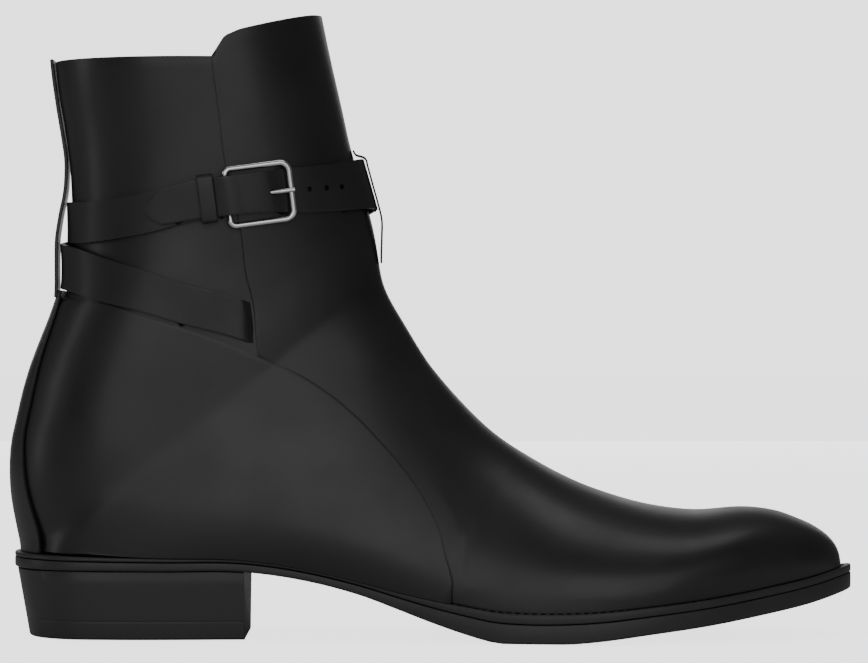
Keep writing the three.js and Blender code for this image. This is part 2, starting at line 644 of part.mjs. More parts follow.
// A closed loop of points round the sole outline at one inset and height
function soleLoop(inset, height) {
  const loop = [];
  const place = (turn, side) => {
    const { x, y } = outlinePoint(turn, side, inset);
    loop.push(new THREE.Vector3(x, y, height(x)));
  };
  for (let k = 0; k < OUTLINE_STATIONS; k += 1) place(Math.PI * k / OUTLINE_STATIONS, OUTER);
  for (let k = OUTLINE_STATIONS; k > 0; k -= 1) place(Math.PI * k / OUTLINE_STATIONS, INNER);
  return loop;
}

// Cross strips that close a loop whose two sides face each other
function stripFaces(first, count, turned) {
  const faces = [];
  for (let k = 0; k < count / 2; k += 1) {
    const [a, b] = [first + k, first + k + 1];
    const [c, d] = [first + (count - k) % count, first + count - k - 1];
    const pair = [[a, b, d], [a, d, c]];
    faces.push(...pair.map(([p, q, r]) => (turned ? [p, r, q] : [p, q, r])));
  }
  return faces;
}

// A plate from loops stacked upwards, closed across its underside and top
function plate(loops) {
  const count = loops[0].length;
  const faces = ringFaces(loops.length, count);
  faces.push(...stripFaces(0, count, true));
  faces.push(...stripFaces((loops.length - 1) * count, count, false));
  return closedGeometry(loops.flat(), faces);
}

function makeOutsole() {
  return plate([
    soleLoop(OUTSOLE_BEVEL, soleUnderside),
    soleLoop(0, (x) => soleUnderside(x) + OUTSOLE_BEVEL),
    soleLoop(0, outsoleTop),
  ]);
}

function makeWelt() {
  const loops = [
    soleLoop(WELT_WIDTH, weltUnderside),
    soleLoop(0, weltUnderside),
    soleLoop(0, weltTop),
    soleLoop(WELT_WIDTH, weltTop),
    soleLoop(WELT_WIDTH, weltUnderside),
  ];
  return closedGeometry(loops.flat(), ringFaces(loops.length, loops[0].length));
}

// The insole lies on the welt inside the upper, and its filling goes down
// through the welt to the outsole
function makeInsole() {
  const top = [];
  const foot = [];
  for (let k = 0; k <= OUTLINE_STATIONS; k += 1) {
    const x = SOLE_LENGTH * k / OUTLINE_STATIONS;
    foot.push({ x, z: upperFoot(x) });
    top.unshift({ x, z: upperFoot(x) + INSOLE_THICKNESS });
  }
  const layer = form(-UPPER_WALL - 2 * GAP).intersect(sidePrism([...foot, ...top]));
  const filling = plate([
    soleLoop(WELT_WIDTH + GAP, (x) => outsoleTop(x) + GAP),
    soleLoop(WELT_WIDTH + GAP, (x) => upperFoot(x) + INSOLE_THICKNESS / 2),
  ]);
  return layer.add(solidFrom(filling));
}

// The heel block: the sole's outline up to the breast, drawn in downwards
function makeHeel() {
  const stations = 12;
  const breastTurn = Math.acos(1 - 2 * HEEL_LENGTH / SOLE_LENGTH);
  const loopAt = (inset, pitch, height) => {
    const loop = [];
    for (let k = -stations; k <= stations; k += 1) {
      const turn = breastTurn * Math.abs(k) / stations;
      const place = outlinePoint(turn, k < 0 ? OUTER : INNER, inset);
      const x = Math.min(place.x + pitch * (1 - place.x / HEEL_LENGTH), HEEL_LENGTH);
      loop.push(new THREE.Vector3(x, place.y, height(x)));
    }
    const last = loop[loop.length - 1];
    const first = loop[0];
    for (let k = 1; k < 4; k += 1) {
      const x = HEEL_LENGTH - HEEL_HOLLOW * Math.sin(Math.PI * k / 4);
      loop.push(new THREE.Vector3(x, THREE.MathUtils.lerp(last.y, first.y, k / 4), height(x)));
    }
    return loop;
  };
  const edge = 1;
  const loops = [
    loopAt(edge + HEEL_TAPER + 0.6, HEEL_PITCH + 0.6, () => 0),
    loopAt(edge + HEEL_TAPER, HEEL_PITCH, () => edge),
    loopAt(edge, 0, (x) => soleUnderside(x) - GAP),
  ];
  const count = loops[0].length;
  const outline = loops[0].map((corner) => new THREE.Vector2(corner.x, corner.y));
  const cap = THREE.ShapeUtils.triangulateShape(outline, []);
  const faces = ringFaces(loops.length, count);
  const above = (loops.length - 1) * count;
  const clockwise = THREE.ShapeUtils.isClockWise(outline);
  cap.forEach(([a, b, c]) => {
    faces.push(clockwise ? [a, b, c] : [a, c, b]);
    faces.push(clockwise ? [a + above, c + above, b + above] : [a + above, b + above, c + above]);
  });
  return turnedOut(closedGeometry(loops.flat(), faces));
}

// The half width of the leg where a level line at height z crosses x
function legReach(side, x, z) {
  const which = side === OUTER ? 0 : 1;
  const beyond = (order) => {
    const section = sectionAt(order);
    const end = section.ends[which];
    return (section.top.x - end.x) * (z - end.z) - (section.top.z - end.z) * (x - end.x);
  };
  let [low, high] = [11, SECTIONS.length - 1];
  for (let k = 0; k < 26; k += 1) {
    const middle = (low + high) / 2;
    if (beyond(middle) > 0) low = middle;
    else high = middle;
  }
  const section = sectionAt((low + high) / 2);
  const end = section.ends[which];
  const length = Math.hypot(section.top.x - end.x, section.top.z - end.z);
  const share = THREE.MathUtils.clamp(Math.hypot(x - end.x, z - end.z) / length, 0, 1);
  const over = (share - section.wide) / (1 - section.wide);
  const under = (section.wide - share) / tuckDepth(section, which);
  const power = share > section.wide ? section.over : 2;
  const fall = Math.min(Math.max(over, under, 0), 1);
  return section.top.y + side * section.reach[which] * (1 - fall ** power) ** (1 / power);
}

// The front line of the leg at a height
function frontLine(z) {
  let [low, high] = [11, SECTIONS.length - 1];
  for (let k = 0; k < 26; k += 1) {
    const middle = (low + high) / 2;
    if (sectionAt(middle).top.z < z) low = middle;
    else high = middle;
  }
  return sectionAt((low + high) / 2).top.x;
}

// A place on the leg by the angle around it, 0 at the back and 90 on the inner
// side, standing off the leather by a lift
function legPoint(around, z, lift = 0) {
  const bare = (angle, height) => {
    const back = backLine(height);
    const front = frontLine(height);
    const x = (back + front) / 2 - (front - back) / 2 * Math.cos(angle * DEGREE);
    const side = Math.sin(angle * DEGREE) < 0 ? OUTER : INNER;
    return new THREE.Vector3(x, legReach(side, x, height), height);
  };
  const turn = 1.5;
  const rise = 1.5;
  const ahead = bare(around + turn, z).sub(bare(around - turn, z));
  const upward = bare(around, z + rise).sub(bare(around, z - rise));
  const outward = upward.cross(ahead).normalize();
  const point = bare(around, z).addScaledVector(outward, lift);
  return { point, outward };
}

// The rows of a strap table, with one more between rows that stand far apart
function withMiddles(rows) {
  const forward = rows[0].around < rows[1].around ? rows : [...rows].reverse();
  const finer = [];
  forward.forEach((row, k) => {
    finer.push(row);
    const next = forward[k + 1];
    if (!next || next.around - row.around < FAR_APART) return;
    const around = (row.around + next.around) / 2;
    const middle = { around };
    ['middle', 'width', 'lift', 'lean'].forEach((column) => {
      middle[column] = along(forward, around, byAngle, column);
    });
    finer.push(middle);
  });
  return finer;
}

// A strap that follows a table of stations round the leg
function strap(rows) {
  const across = [-1, 0, 1];
  const loops = withMiddles(rows).map((row) => {
    const z = row.middle * COLLAR_HEIGHT;
    const half = row.width * STRAP_WIDTH / 2;
    const face = (offset) => across.map((k) => {
      const lift = row.lift + k * row.lean + offset;
      return legPoint(row.around, z + k * half, lift).point;
    });
    return [...face(0), ...face(STRAP_THICKNESS).reverse()];
  });
  const faces = ringFaces(loops.length, loops[0].length);
  const cap = [[0, 1, 4], [0, 4, 5], [1, 2, 3], [1, 3, 4]];
  const last = (loops.length - 1) * loops[0].length;
  cap.forEach(([a, b, c]) => faces.push([a, c, b], [last + a, last + b, last + c]));
  return turnedOut(closedGeometry(loops.flat(), faces));
}

// The same mesh with its faces turned over if its volume is negative
function turnedOut(geometry) {
  const corners = geometry.attributes.position;
  const index = geometry.index.array;
  const [a, b, c] = [new THREE.Vector3(), new THREE.Vector3(), new THREE.Vector3()];
  let volume = 0;
  for (let k = 0; k < index.length; k += 3) {
    a.fromBufferAttribute(corners, index[k]);
    b.fromBufferAttribute(corners, index[k + 1]);
    c.fromBufferAttribute(corners, index[k + 2]);
    volume += a.dot(b.cross(c));
  }
  if (volume < 0) geometry.setIndex(Array.from(index).reverse());
  return geometry;
}

// Axes on the leather: along towards one place from another, across and out
function seat(from, to, height) {
  const start = legPoint(from.around, from.height * COLLAR_HEIGHT, height);
  const finish = legPoint(to.around, to.height * COLLAR_HEIGHT, height);
  const forward = finish.point.clone().sub(start.point);
  const length = forward.length();
  forward.normalize();
  const out = start.outward.clone().add(finish.outward);
  out.addScaledVector(forward, -out.dot(forward)).normalize();
  const sideways = out.clone().cross(forward);
  return { start: start.point, forward, sideways, out, length };
}

// A round bar along a row of places, with a radius of its own at each
function wire(places, radii, closed) {
  const rings = places.map((place, k) => {
    const before = places[(k - 1 + places.length) % places.length];
    const after = places[(k + 1) % places.length];
    const start = closed || k > 0 ? before : place;
    const finish = closed || k < places.length - 1 ? after : place;
    const course = finish.clone().sub(start).normalize();
    const level = new THREE.Vector3(0, 1, 0).addScaledVector(course, -course.y).normalize();
    const upright = course.clone().cross(level);
    const ring = [];
    for (let n = 0; n < WIRE_SIDES; n += 1) {
      const angle = 2 * Math.PI * n / WIRE_SIDES;
      const corner = place.clone().addScaledVector(level, radii[k] * Math.cos(angle));
      ring.push(corner.addScaledVector(upright, radii[k] * Math.sin(angle)));
    }
    return ring;
  });
  const corners = rings.flat();
  if (closed) {
    const faces = ringFaces(rings.length + 1, WIRE_SIDES);
    return turnedOut(closedGeometry([...corners, ...rings[0]], faces));
  }
  const faces = ringFaces(rings.length, WIRE_SIDES);
  const last = (rings.length - 1) * WIRE_SIDES;
  faces.push(...fanFaces(0, WIRE_SIDES, corners.length, false));
  faces.push(...fanFaces(last, WIRE_SIDES, corners.length + 1, true));
  corners.push(places[0], places[places.length - 1]);
  return turnedOut(closedGeometry(corners, faces));
}

// Heights above the leather where the strap, the bars and the prong cross
const barHeight = 2.5 * GAP + STRAP_THICKNESS + BUCKLE_BAR_WIRE / 2;
const noseHeight = PANEL_STEP + 2.5 * GAP + STRAP_THICKNESS + BUCKLE_WIRE / 2;
const buckleBar = legPoint(BUCKLE_BAR.around, BUCKLE_BAR.height * COLLAR_HEIGHT, barHeight);
const buckleNose = legPoint(BUCKLE_NOSE.around, BUCKLE_NOSE.height * COLLAR_HEIGHT, noseHeight);
const buckleForward = buckleNose.point.clone().sub(buckleBar.point).normalize();
const buckleOut = buckleBar.outward.clone().add(buckleNose.outward);
buckleOut.addScaledVector(buckleForward, -buckleOut.dot(buckleForward)).normalize();
const buckleUp = buckleForward.clone().cross(buckleOut);
buckleUp.multiplyScalar(Math.sign(buckleUp.z));

function bucklePlace(ahead, up, out = 0) {
  return buckleBar.point.clone()
    .addScaledVector(buckleForward, ahead)
    .addScaledVector(buckleUp, up)
    .addScaledVector(buckleOut, out);
}

function makeBuckleFrame() {
  const half = BUCKLE_WIDTH / 2;
  const places = [];
  const radii = [];
  const corner = (ahead, up, reach, from) => {
    for (let k = 0; k <= 3; k += 1) {
      const angle = from + k * Math.PI / 6;
      places.push(bucklePlace(ahead + reach * Math.cos(angle), up + reach * Math.sin(angle)));
      radii.push(BUCKLE_WIRE / 2);
    }
  };
  const nose = BUCKLE_CORNER;
  const heel = BUCKLE_CORNER * 0.6;
  const bar = STRAP_WIDTH * 0.455;
  corner(BUCKLE_LENGTH - nose, half - nose, nose, 0);
  corner(heel, half - heel, heel, Math.PI / 2);
  places.push(bucklePlace(0, bar), bucklePlace(0, -bar));
  radii.push(BUCKLE_BAR_WIRE / 2, BUCKLE_BAR_WIRE / 2);
  corner(heel, heel - half, heel, Math.PI);
  corner(BUCKLE_LENGTH - nose, nose - half, nose, 1.5 * Math.PI);
  return wire(places, radii, true);
}

// The prong lies under the strap, comes up through its hole and rests on the
// nose of the frame
function prongPlaces() {
  const rest = (BUCKLE_WIRE + PRONG_WIRE) / 2 + GAP;
  const under = (BUCKLE_BAR_WIRE + PRONG_WIRE) / 2 + GAP;
  return [
    bucklePlace(under, 0, -0.35),
    bucklePlace(BUCKLE_LENGTH * 0.35, 0, -0.75),
    bucklePlace(BUCKLE_LENGTH * 0.56, 0, -0.75),
    bucklePlace(BUCKLE_LENGTH * 0.7, 0, 0.6),
    bucklePlace(BUCKLE_LENGTH * 0.84, 0, rest - 0.3),
    bucklePlace(BUCKLE_LENGTH, 0, rest),
    bucklePlace(BUCKLE_LENGTH + BUCKLE_WIRE * 0.35, 0, rest),
  ];
}

function makeProng() {
  const places = prongPlaces();
  return wire(places, places.map(() => PRONG_WIRE / 2), false);
}

function makeWrapStrap() {
  let solid = solidFrom(strap(WRAP_STRAP));
  STRAP_HOLES.forEach((hole) => {
    const { point, outward } = legPoint(hole.around, hole.height * COLLAR_HEIGHT);
    const punch = new THREE.CylinderGeometry(HOLE_DIAMETER / 2, HOLE_DIAMETER / 2, STRAP_WIDTH, 10);
    punch.applyQuaternion(new THREE.Quaternion().setFromUnitVectors(THREE.Object3D.DEFAULT_UP, outward));
    punch.translate(point.x, point.y, point.z);
    solid = solid.subtract(solidFrom(punch));
  });
  const slotRadius = PRONG_WIRE / 2 + GAP;
  const slot = wire(prongPlaces(), prongPlaces().map(() => slotRadius), false);
  return solid.subtract(solidFrom(slot));
}

// The keeper bridges both straps, its legs standing on the leather
function makeKeeper() {
  const { start, forward, sideways, out } = seat(KEEPER_PLACE, KEEPER_AHEAD, 0);
  const stack = 2 * (GAP + STRAP_THICKNESS) + 3 * GAP;
  const half = STRAP_WIDTH * 0.88 / 2 + GAP + 0.35;
  const outerHalf = half + KEEPER_THICKNESS;
  const shape = new THREE.Shape([
    new THREE.Vector2(-outerHalf, 0),
    new THREE.Vector2(-half, 0),
    new THREE.Vector2(-half, stack),
    new THREE.Vector2(half, stack),
    new THREE.Vector2(half, 0),
    new THREE.Vector2(outerHalf, 0),
    new THREE.Vector2(outerHalf, stack + KEEPER_THICKNESS * 0.4),
    new THREE.Vector2(outerHalf - KEEPER_THICKNESS * 0.6, stack + KEEPER_THICKNESS),
    new THREE.Vector2(-outerHalf + KEEPER_THICKNESS * 0.6, stack + KEEPER_THICKNESS),
    new THREE.Vector2(-outerHalf, stack + KEEPER_THICKNESS * 0.4),
  ]);
  const geometry = new THREE.ExtrudeGeometry(shape, { depth: KEEPER_LENGTH, bevelEnabled: false });
  geometry.translate(0, 0.4, -KEEPER_LENGTH / 2);
  geometry.applyMatrix4(new THREE.Matrix4().makeBasis(sideways, out, forward).setPosition(start));
  return turnedOut(closedFromShape(geometry));
}

function closedFromShape(geometry) {
  geometry.deleteAttribute('normal');
  geometry.deleteAttribute('uv');
  return mergeVertices(geometry, 0.0001);
}

// A flat strip from the line of its inner face in the side view
function strip(line, thickness, width) {
  const curve = new THREE.CatmullRomCurve3(line.map(({ x, z }) => new THREE.Vector3(x, 0, z)));
  const steps = line.length * 2;
  const innerFace = [];
  const outerFace = [];
  for (let k = 0; k <= steps; k += 1) {
    const place = curve.getPoint(k / steps);
    const course = curve.getTangent(k / steps);
    innerFace.push({ x: place.x, z: place.z });
    outerFace.unshift({ x: place.x + thickness * course.z, z: place.z - thickness * course.x });
  }
  return sidePrism([...innerFace, ...outerFace], -width / 2, width / 2);
}

// The back strip down the leg, its free loop over the straps and the patch
// that widens down the heel
function makeBackstay() {
  const nub = COLLAR_HEIGHT + BACKSTAY_THICKNESS;
  const line = [nub, 0.97, 0.92, 0.87, 0.83].map((share) => {
    const z = share > 1 ? share : share * COLLAR_HEIGHT;
    return { x: backLine(z) - GAP, z };
  });
  const loop = BACK_LOOP.map(inShares);
  const free = strip([...line, ...loop], BACKSTAY_THICKNESS, BACK_STRIP_WIDTH);
  const outerOffset = 2 * GAP + QUARTER_THICKNESS;
  const shell = form(outerOffset + BACKSTAY_THICKNESS).subtract(form(outerOffset));
  const right = BACK_PATCH.map(({ z, half }) => new THREE.Vector2(half * BALL_WIDTH, z * COLLAR_HEIGHT));
  const left = right.map((corner) => new THREE.Vector2(-corner.x, corner.y)).reverse();
  const depth = SOLE_LENGTH * 0.16;
  const outline = new THREE.Shape([...right, ...left]);
  const patch = new THREE.ExtrudeGeometry(outline, { depth, bevelEnabled: false });
  patch.applyMatrix4(new THREE.Matrix4().makeBasis(
    new THREE.Vector3(0, 1, 0),
    new THREE.Vector3(0, 0, 1),
    new THREE.Vector3(1, 0, 0),
  ));
  patch.translate(-depth * 0.6, 0, 0);
  return shell.intersect(solidFrom(patch)).intersect(space).add(free);
}

// The thin loop that holds the long strap against the front of the leg
function makeFrontLoop() {
  const strapTop = legPoint(180, COLLAR_HEIGHT * 0.782).point.z + STRAP_WIDTH * 0.57;
  const strapFoot = strapTop - STRAP_WIDTH * 1.14;
  const clear = WRAP_STRAP.find((row) => row.around === 180).lift + STRAP_THICKNESS + 1.5 * GAP;
  const heights = [
    [strapTop + 4.4, PANEL_STEP + GAP],
    [strapTop + 2.6, PANEL_STEP + GAP + 0.8],
    [strapTop + 1.4, clear],
    [strapTop - 1.5, clear + 0.1],
    [(strapTop + strapFoot) / 2, clear],
    [strapFoot + 3, clear],
    [strapFoot - 3, clear - 0.3],
    [strapFoot - 9, clear - 1.7],
    [strapFoot - 15, clear - 3],
    [strapFoot - 19, PANEL_STEP + GAP],
  ];
  const line = heights.map(([z, lift]) => ({ x: frontLine(z) + lift, z }));
  return strip(line, -FRONT_LOOP_THICKNESS, FRONT_LOOP_WIDTH);
}

// Every piece as a named mesh with its own material
function piece(name, geometry, surface) {
  const mesh = new THREE.Mesh(geometry, new THREE.MeshStandardMaterial(surface));
  mesh.name = name;
  return mesh;
}

const boot = new THREE.Group();
boot.add(
  piece('upper', geometryOf(makeUpper()), LEATHER),
  piece('quarter', geometryOf(makeQuarter()), LEATHER),
  piece('backstay', geometryOf(makeBackstay()), LEATHER),
  piece('insole', geometryOf(makeInsole()), LINING),
  piece('welt', makeWelt(), EDGE_LEATHER),
  piece('outsole', makeOutsole(), EDGE_LEATHER),
  piece('heel', makeHeel(), EDGE_LEATHER),
  piece('wrap_strap', geometryOf(makeWrapStrap()), STRAP_LEATHER),
  piece('buckle_strap', strap(BUCKLE_STRAP), STRAP_LEATHER),
  piece('strap_keeper', makeKeeper(), STRAP_LEATHER),
  piece('front_loop', geometryOf(makeFrontLoop()), STRAP_LEATHER),
  piece('buckle_frame', makeBuckleFrame(), STEEL),
  piece('buckle_prong', makeProng(), STEEL),
);
boot.position.x = -HEEL_LENGTH / 2;

export default boot;
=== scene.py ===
"""A right jodhpur ankle boot in black calf, dressed over its solid frame."""

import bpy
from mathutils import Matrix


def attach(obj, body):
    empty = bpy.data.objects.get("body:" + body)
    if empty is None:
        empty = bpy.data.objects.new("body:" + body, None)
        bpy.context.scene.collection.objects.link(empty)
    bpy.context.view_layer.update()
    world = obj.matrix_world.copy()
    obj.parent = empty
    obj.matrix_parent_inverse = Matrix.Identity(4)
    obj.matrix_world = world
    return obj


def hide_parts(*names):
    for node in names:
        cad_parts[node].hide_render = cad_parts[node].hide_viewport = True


bl_info = {
    "name": "Jodhpur Boot",
    "version": (1, 0, 0),
    "blender": (4, 5, 0),
    "location": "View3D > Sidebar > Boot",
    "description": "Builds the leathers, straps, buckle, sole and stage of a jodhpur boot",
    "category": "Add Mesh",
}

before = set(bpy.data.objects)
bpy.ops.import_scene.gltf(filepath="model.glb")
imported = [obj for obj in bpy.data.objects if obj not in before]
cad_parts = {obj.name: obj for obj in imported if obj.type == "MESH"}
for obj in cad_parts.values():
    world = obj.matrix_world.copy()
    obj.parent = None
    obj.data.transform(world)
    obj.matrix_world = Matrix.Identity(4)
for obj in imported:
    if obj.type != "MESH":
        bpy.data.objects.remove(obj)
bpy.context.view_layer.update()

import math

import bpy
import numpy as np
from mathutils import Vector

# Sizes of the last and the boot, in millimetres
SOLE_LENGTH = 310
BALL_WIDTH = 96.5
COLLAR_HEIGHT = 211.5
UPPER_WALL = 2.2
GAP = 0.3
HEEL_HEIGHT = 25
HEEL_LENGTH = 86.3
HEEL_PITCH = 2.6
HEEL_TAPER = 1.8
HEEL_HOLLOW = 2.5
TOE_SPRING = 17
WELT_THICKNESS = 3.3
WELT_WIDTH = 8.5
OUTSOLE_THICKNESS = 7
PANEL_STEP = 0.9
QUARTER_THICKNESS = 1.4
BACKSTAY_THICKNESS = 1.2
BACK_STRIP_WIDTH = 11
STRAP_WIDTH = 16
STRAP_THICKNESS = 1.6
FRONT_LOOP_WIDTH = 6
FRONT_LOOP_THICKNESS = 0.7
BUCKLE_LENGTH = 23.5
BUCKLE_WIDTH = 20.7
BUCKLE_CORNER = 3.4
BUCKLE_WIRE = 2.2
BUCKLE_BAR_WIRE = 1.5
PRONG_WIRE = 1.6
KEEPER_LENGTH = 5.6
KEEPER_THICKNESS = 1.1
FORM_DROP = 8
CREST_SHARE = 6 / 11
OUTER, INNER = -1, 1

# Leathers, laps and cut edges, in millimetres
LEATHER_WALL = 1.0
LINING_OFFSET = 1.1
LINING_DROP = 0.5
SEAM_LAP = 2.5
PANEL_LAP = 4
CUT_EDGE = 0.3
HOLE_RADIUS = 1.0

# Sharp edges stay sharp past these angles, in degrees
LEATHER_SHARP = 42
WIRE_SHARP = 40
SOLE_SHARP = 50

# How far the gloss of a leather drifts to either side of its roughness
GLOSS_SPREAD = 0.07

# Slices of the last: they fan round the heel from one order to the next, and those
# of the leg are stretched up to the top line from another
FAN_START, FAN_END, LEG_TURN, LAST_ORDER = 17, 18, 22.0, 26
LEG_ORDER = 11


def table(columns, rows):
    """A table with named columns, as arrays."""
    data = np.array(rows, float)
    return {name: data[:, k] for k, name in enumerate(columns.split())}


# The sole outline, the sweep of the bottom, the back line, the sections of the
# last, the edges of the leathers and the stations of the straps
OUTLINE = table("at half swing", [
    (0.0, 0.0, 0.0), (0.02, 0.21, 0.0), (0.06, 0.307, -0.003), (0.12, 0.336, -0.005), (0.2, 0.331, -0.008),
    (0.28, 0.309, -0.014), (0.36, 0.292, -0.03), (0.44, 0.311, -0.044), (0.52, 0.382, -0.05),
    (0.6, 0.462, -0.04), (0.67, 0.5, -0.024), (0.74, 0.49, -0.008), (0.81, 0.432, 0.006),
    (0.88, 0.337, 0.018), (0.94, 0.231, 0.026), (0.98, 0.126, 0.031), (1.0, 0.0, 0.034),
])
BOTTOM = table("at heel toe edge inset", [
    (0.0, 1.02, 0, 0.52, 5.2), (0.06, 1.01, 0, 0.48, 3.9), (0.18, 1.0, 0, 0.44, 3.1),
    (0.28, 0.985, 0, 0.42, 3.0), (0.33, 0.905, 0, 0.42, 3.0), (0.375, 0.79, 0, 0.43, 3.0),
    (0.417, 0.645, 0, 0.48, 3.0), (0.459, 0.455, 0, 0.61, 3.1), (0.5, 0.27, 0, 0.78, 3.2),
    (0.54, 0.11, 0, 0.95, 3.3), (0.57, 0.014, 0, 1.03, 3.4), (0.6, -0.012, 0, 1.04, 3.5),
    (0.645, -0.008, 0, 1.02, 3.5), (0.69, 0, 0.05, 0.97, 3.5), (0.75, 0, 0.185, 0.92, 3.5),
    (0.82, 0, 0.34, 0.9, 3.6), (0.89, 0, 0.545, 0.89, 3.6), (0.945, 0, 0.735, 0.88, 3.6),
    (1.0, 0, 1, 0.85, 3.7),
])
BACK = table("at in", [
    (0.0, 0.0174), (0.05, 0.0166), (0.1, 0.0106), (0.155, 0.0048), (0.2, 0.0034), (0.25, 0.005),
    (0.3, 0.0115), (0.35, 0.0185), (0.4, 0.0275), (0.45, 0.039), (0.5, 0.051), (0.55, 0.0608),
    (0.6, 0.0665), (0.66, 0.0685), (0.72, 0.0678), (0.8, 0.065), (0.87, 0.0592), (0.94, 0.052),
    (1.0, 0.0478), (1.12, 0.041),
])
SECTIONS = table("x top end outer inner ridge wide over", [
    (0.988, 0.085, 0, -0.034, 0.034, 0.034, 0.3, 2.1),
    (0.9876, 0.122, 0.0086, 0.053, 0.119, 0.034, 0.3, 2.1),
    (0.9838, 0.149, 0.028, 0.102, 0.164, 0.034, 0.3, 2.15),
    (0.9735, 0.1702, 0.055, 0.163, 0.216, 0.033, 0.3, 2.2),
    (0.9568, 0.1882, 0.085, 0.226, 0.272, 0.032, 0.29, 2.2),
    (0.9361, 0.2024, 0.115, 0.281, 0.32, 0.031, 0.28, 2.2),
    (0.9065, 0.217, 0.155, 0.347, 0.374, 0.029, 0.27, 2.15),
    (0.8677, 0.2227, 0.2, 0.409, 0.421, 0.027, 0.27, 2.1),
    (0.8129, 0.2175, 0.25, 0.465, 0.453, 0.027, 0.28, 2.05),
    (0.7597, 0.2265, 0.305, 0.492, 0.46, 0.028, 0.28, 2),
    (0.711, 0.2454, 0.365, 0.492, 0.434, 0.03, 0.28, 1.93),
    (0.6645, 0.2714, 0.43, 0.466, 0.384, 0.031, 0.28, 1.86),
    (0.6161, 0.3092, 0.495, 0.423, 0.333, 0.031, 0.28, 1.82),
    (0.5716, 0.3527, 0.565, 0.383, 0.308, 0.028, 0.28, 1.8),
    (0.5303, 0.4113, 0.645, 0.361, 0.312, 0.022, 0.28, 1.8),
    (0.4923, 0.4775, 0.74, 0.349, 0.326, 0.014, 0.27, 1.82),
    (0.4629, 0.5418, 0.85, 0.344, 0.336, 0.006, 0.265, 1.86),
    (0.4432, 0.5891, 0.94, 0.341, 0.336, 0.002, 0.275, 1.9),
    (0.4355, 0.6241, 1, 0.339, 0.335, 0, 0.29, 1.92), (0.4303, 0.669, 1.13, 0.336, 0.333, 0, 0.33, 1.95),
    (0.4245, 0.7116, 1.28, 0.332, 0.33, 0, 0.37, 1.97), (0.4158, 0.7589, 1.43, 0.33, 0.33, 0, 0.42, 2),
    (0.4071, 0.8038, 1.58, 0.335, 0.335, 0, 0.46, 2), (0.3971, 0.8558, 1.72, 0.347, 0.347, 0, 0.48, 2),
    (0.3868, 0.9243, 1.86, 0.366, 0.366, 0, 0.49, 2), (0.3742, 1.0052, 2.0, 0.386, 0.386, 0, 0.5, 2),
    (0.3606, 1.1017, 2.12, 0.4, 0.4, 0, 0.5, 2),
])
PANEL_EDGE = table("x z", [
    (0.2405, 1.15), (0.2415, 1.0), (0.2494, 0.906), (0.2552, 0.831), (0.2752, 0.694), (0.281, 0.622),
    (0.2877, 0.584), (0.2926, 0.506), (0.3, 0.42),
])
TAB_TOP = table("x z", [
    (0.2455, 1.0), (0.2471, 1.014), (0.2561, 1.035), (0.2735, 1.047), (0.309, 1.061), (0.3532, 1.078),
    (0.42, 1.095),
])
QUARTER_SEAM = table("x z", [
    (0.5213, 0.06), (0.52, 0.118), (0.5152, 0.137), (0.5061, 0.189), (0.4861, 0.247), (0.4629, 0.2955),
    (0.4384, 0.3366), (0.4094, 0.381), (0.371, 0.4274), (0.3326, 0.4615), (0.2939, 0.4856),
])
QUARTER_TOP = table("x z", [
    (0.2742, 0.4995), (0.2194, 0.529), (0.1548, 0.557), (0.1, 0.579), (-0.05, 0.6),
])
BACK_PATCH = table("z half", [
    (0.598, 0.075), (0.534, 0.1036), (0.43, 0.14), (0.355, 0.15), (0.303, 0.161), (0.241, 0.176),
    (0.184, 0.197), (0.1, 0.22),
])
BACK_LOOP = table("x z", [
    (0.0632, 0.79), (0.061, 0.763), (0.0577, 0.741), (0.0548, 0.717), (0.0523, 0.69), (0.0519, 0.662),
    (0.0519, 0.632), (0.0519, 0.607), (0.0513, 0.589),
])
WRAP_STRAP = table("around middle width lift lean", [
    (-108, 0.5295, 0.96, 0.4, 0), (-97, 0.5475, 0.96, 0.4, 0), (-90, 0.559, 0.94, 0.4, 0),
    (-76, 0.578, 0.92, 0.4, 0),
    (-62, 0.598, 0.93, 0.4, 0), (-48, 0.613, 0.97, 0.5, 0.1), (-34, 0.627, 1.02, 0.9, 0.4),
    (-20, 0.637, 1.04, 1.4, 0.8), (-8, 0.641, 1.04, 1.9, 1.1), (4, 0.645, 1.04, 1.9, 1.1),
    (16, 0.65, 1.04, 2.0, 0.8), (30, 0.658, 1.03, 2.3, 0.3), (45, 0.668, 1.02, 2.4, 0),
    (60, 0.68, 1.0, 2.4, 0), (75, 0.693, 1.0, 2.0, 0), (90, 0.707, 1.0, 1.6, 0), (105, 0.722, 1.01, 1.4, 0),
    (120, 0.737, 1.03, 1.4, 0), (135, 0.751, 1.05, 1.5, 0), (148, 0.763, 1.08, 1.8, 0),
    (160, 0.773, 1.11, 2.3, 0), (170, 0.779, 1.13, 2.7, 0), (180, 0.782, 1.14, 2.8, 0),
    (190, 0.783, 1.12, 2.6, 0), (200, 0.782, 1.09, 2.1, 0), (212, 0.779, 1.06, 1.6, 0),
    (224, 0.776, 1.03, 1.2, 0), (234, 0.7735, 1.01, 1.2, 0), (240, 0.772, 0.97, 1.2, 0),
    (244, 0.771, 0.93, 1.9, 0), (248, 0.77, 0.9, 2.9, 0), (253, 0.768, 0.88, 3.3, 0),
    (259, 0.7655, 0.87, 3.7, 0), (264.5, 0.7625, 0.86, 4.25, 0), (268, 0.7603, 0.86, 3.2, 0),
    (271, 0.7585, 0.86, 2.5, 0), (277, 0.755, 0.85, 2.4, 0), (284, 0.748, 0.82, 2.4, 0),
    (290, 0.7425, 0.79, 2.4, 0), (293.5, 0.7385, 0.44, 2.4, 0), (297, 0.7365, 0.06, 2.4, 0),
])
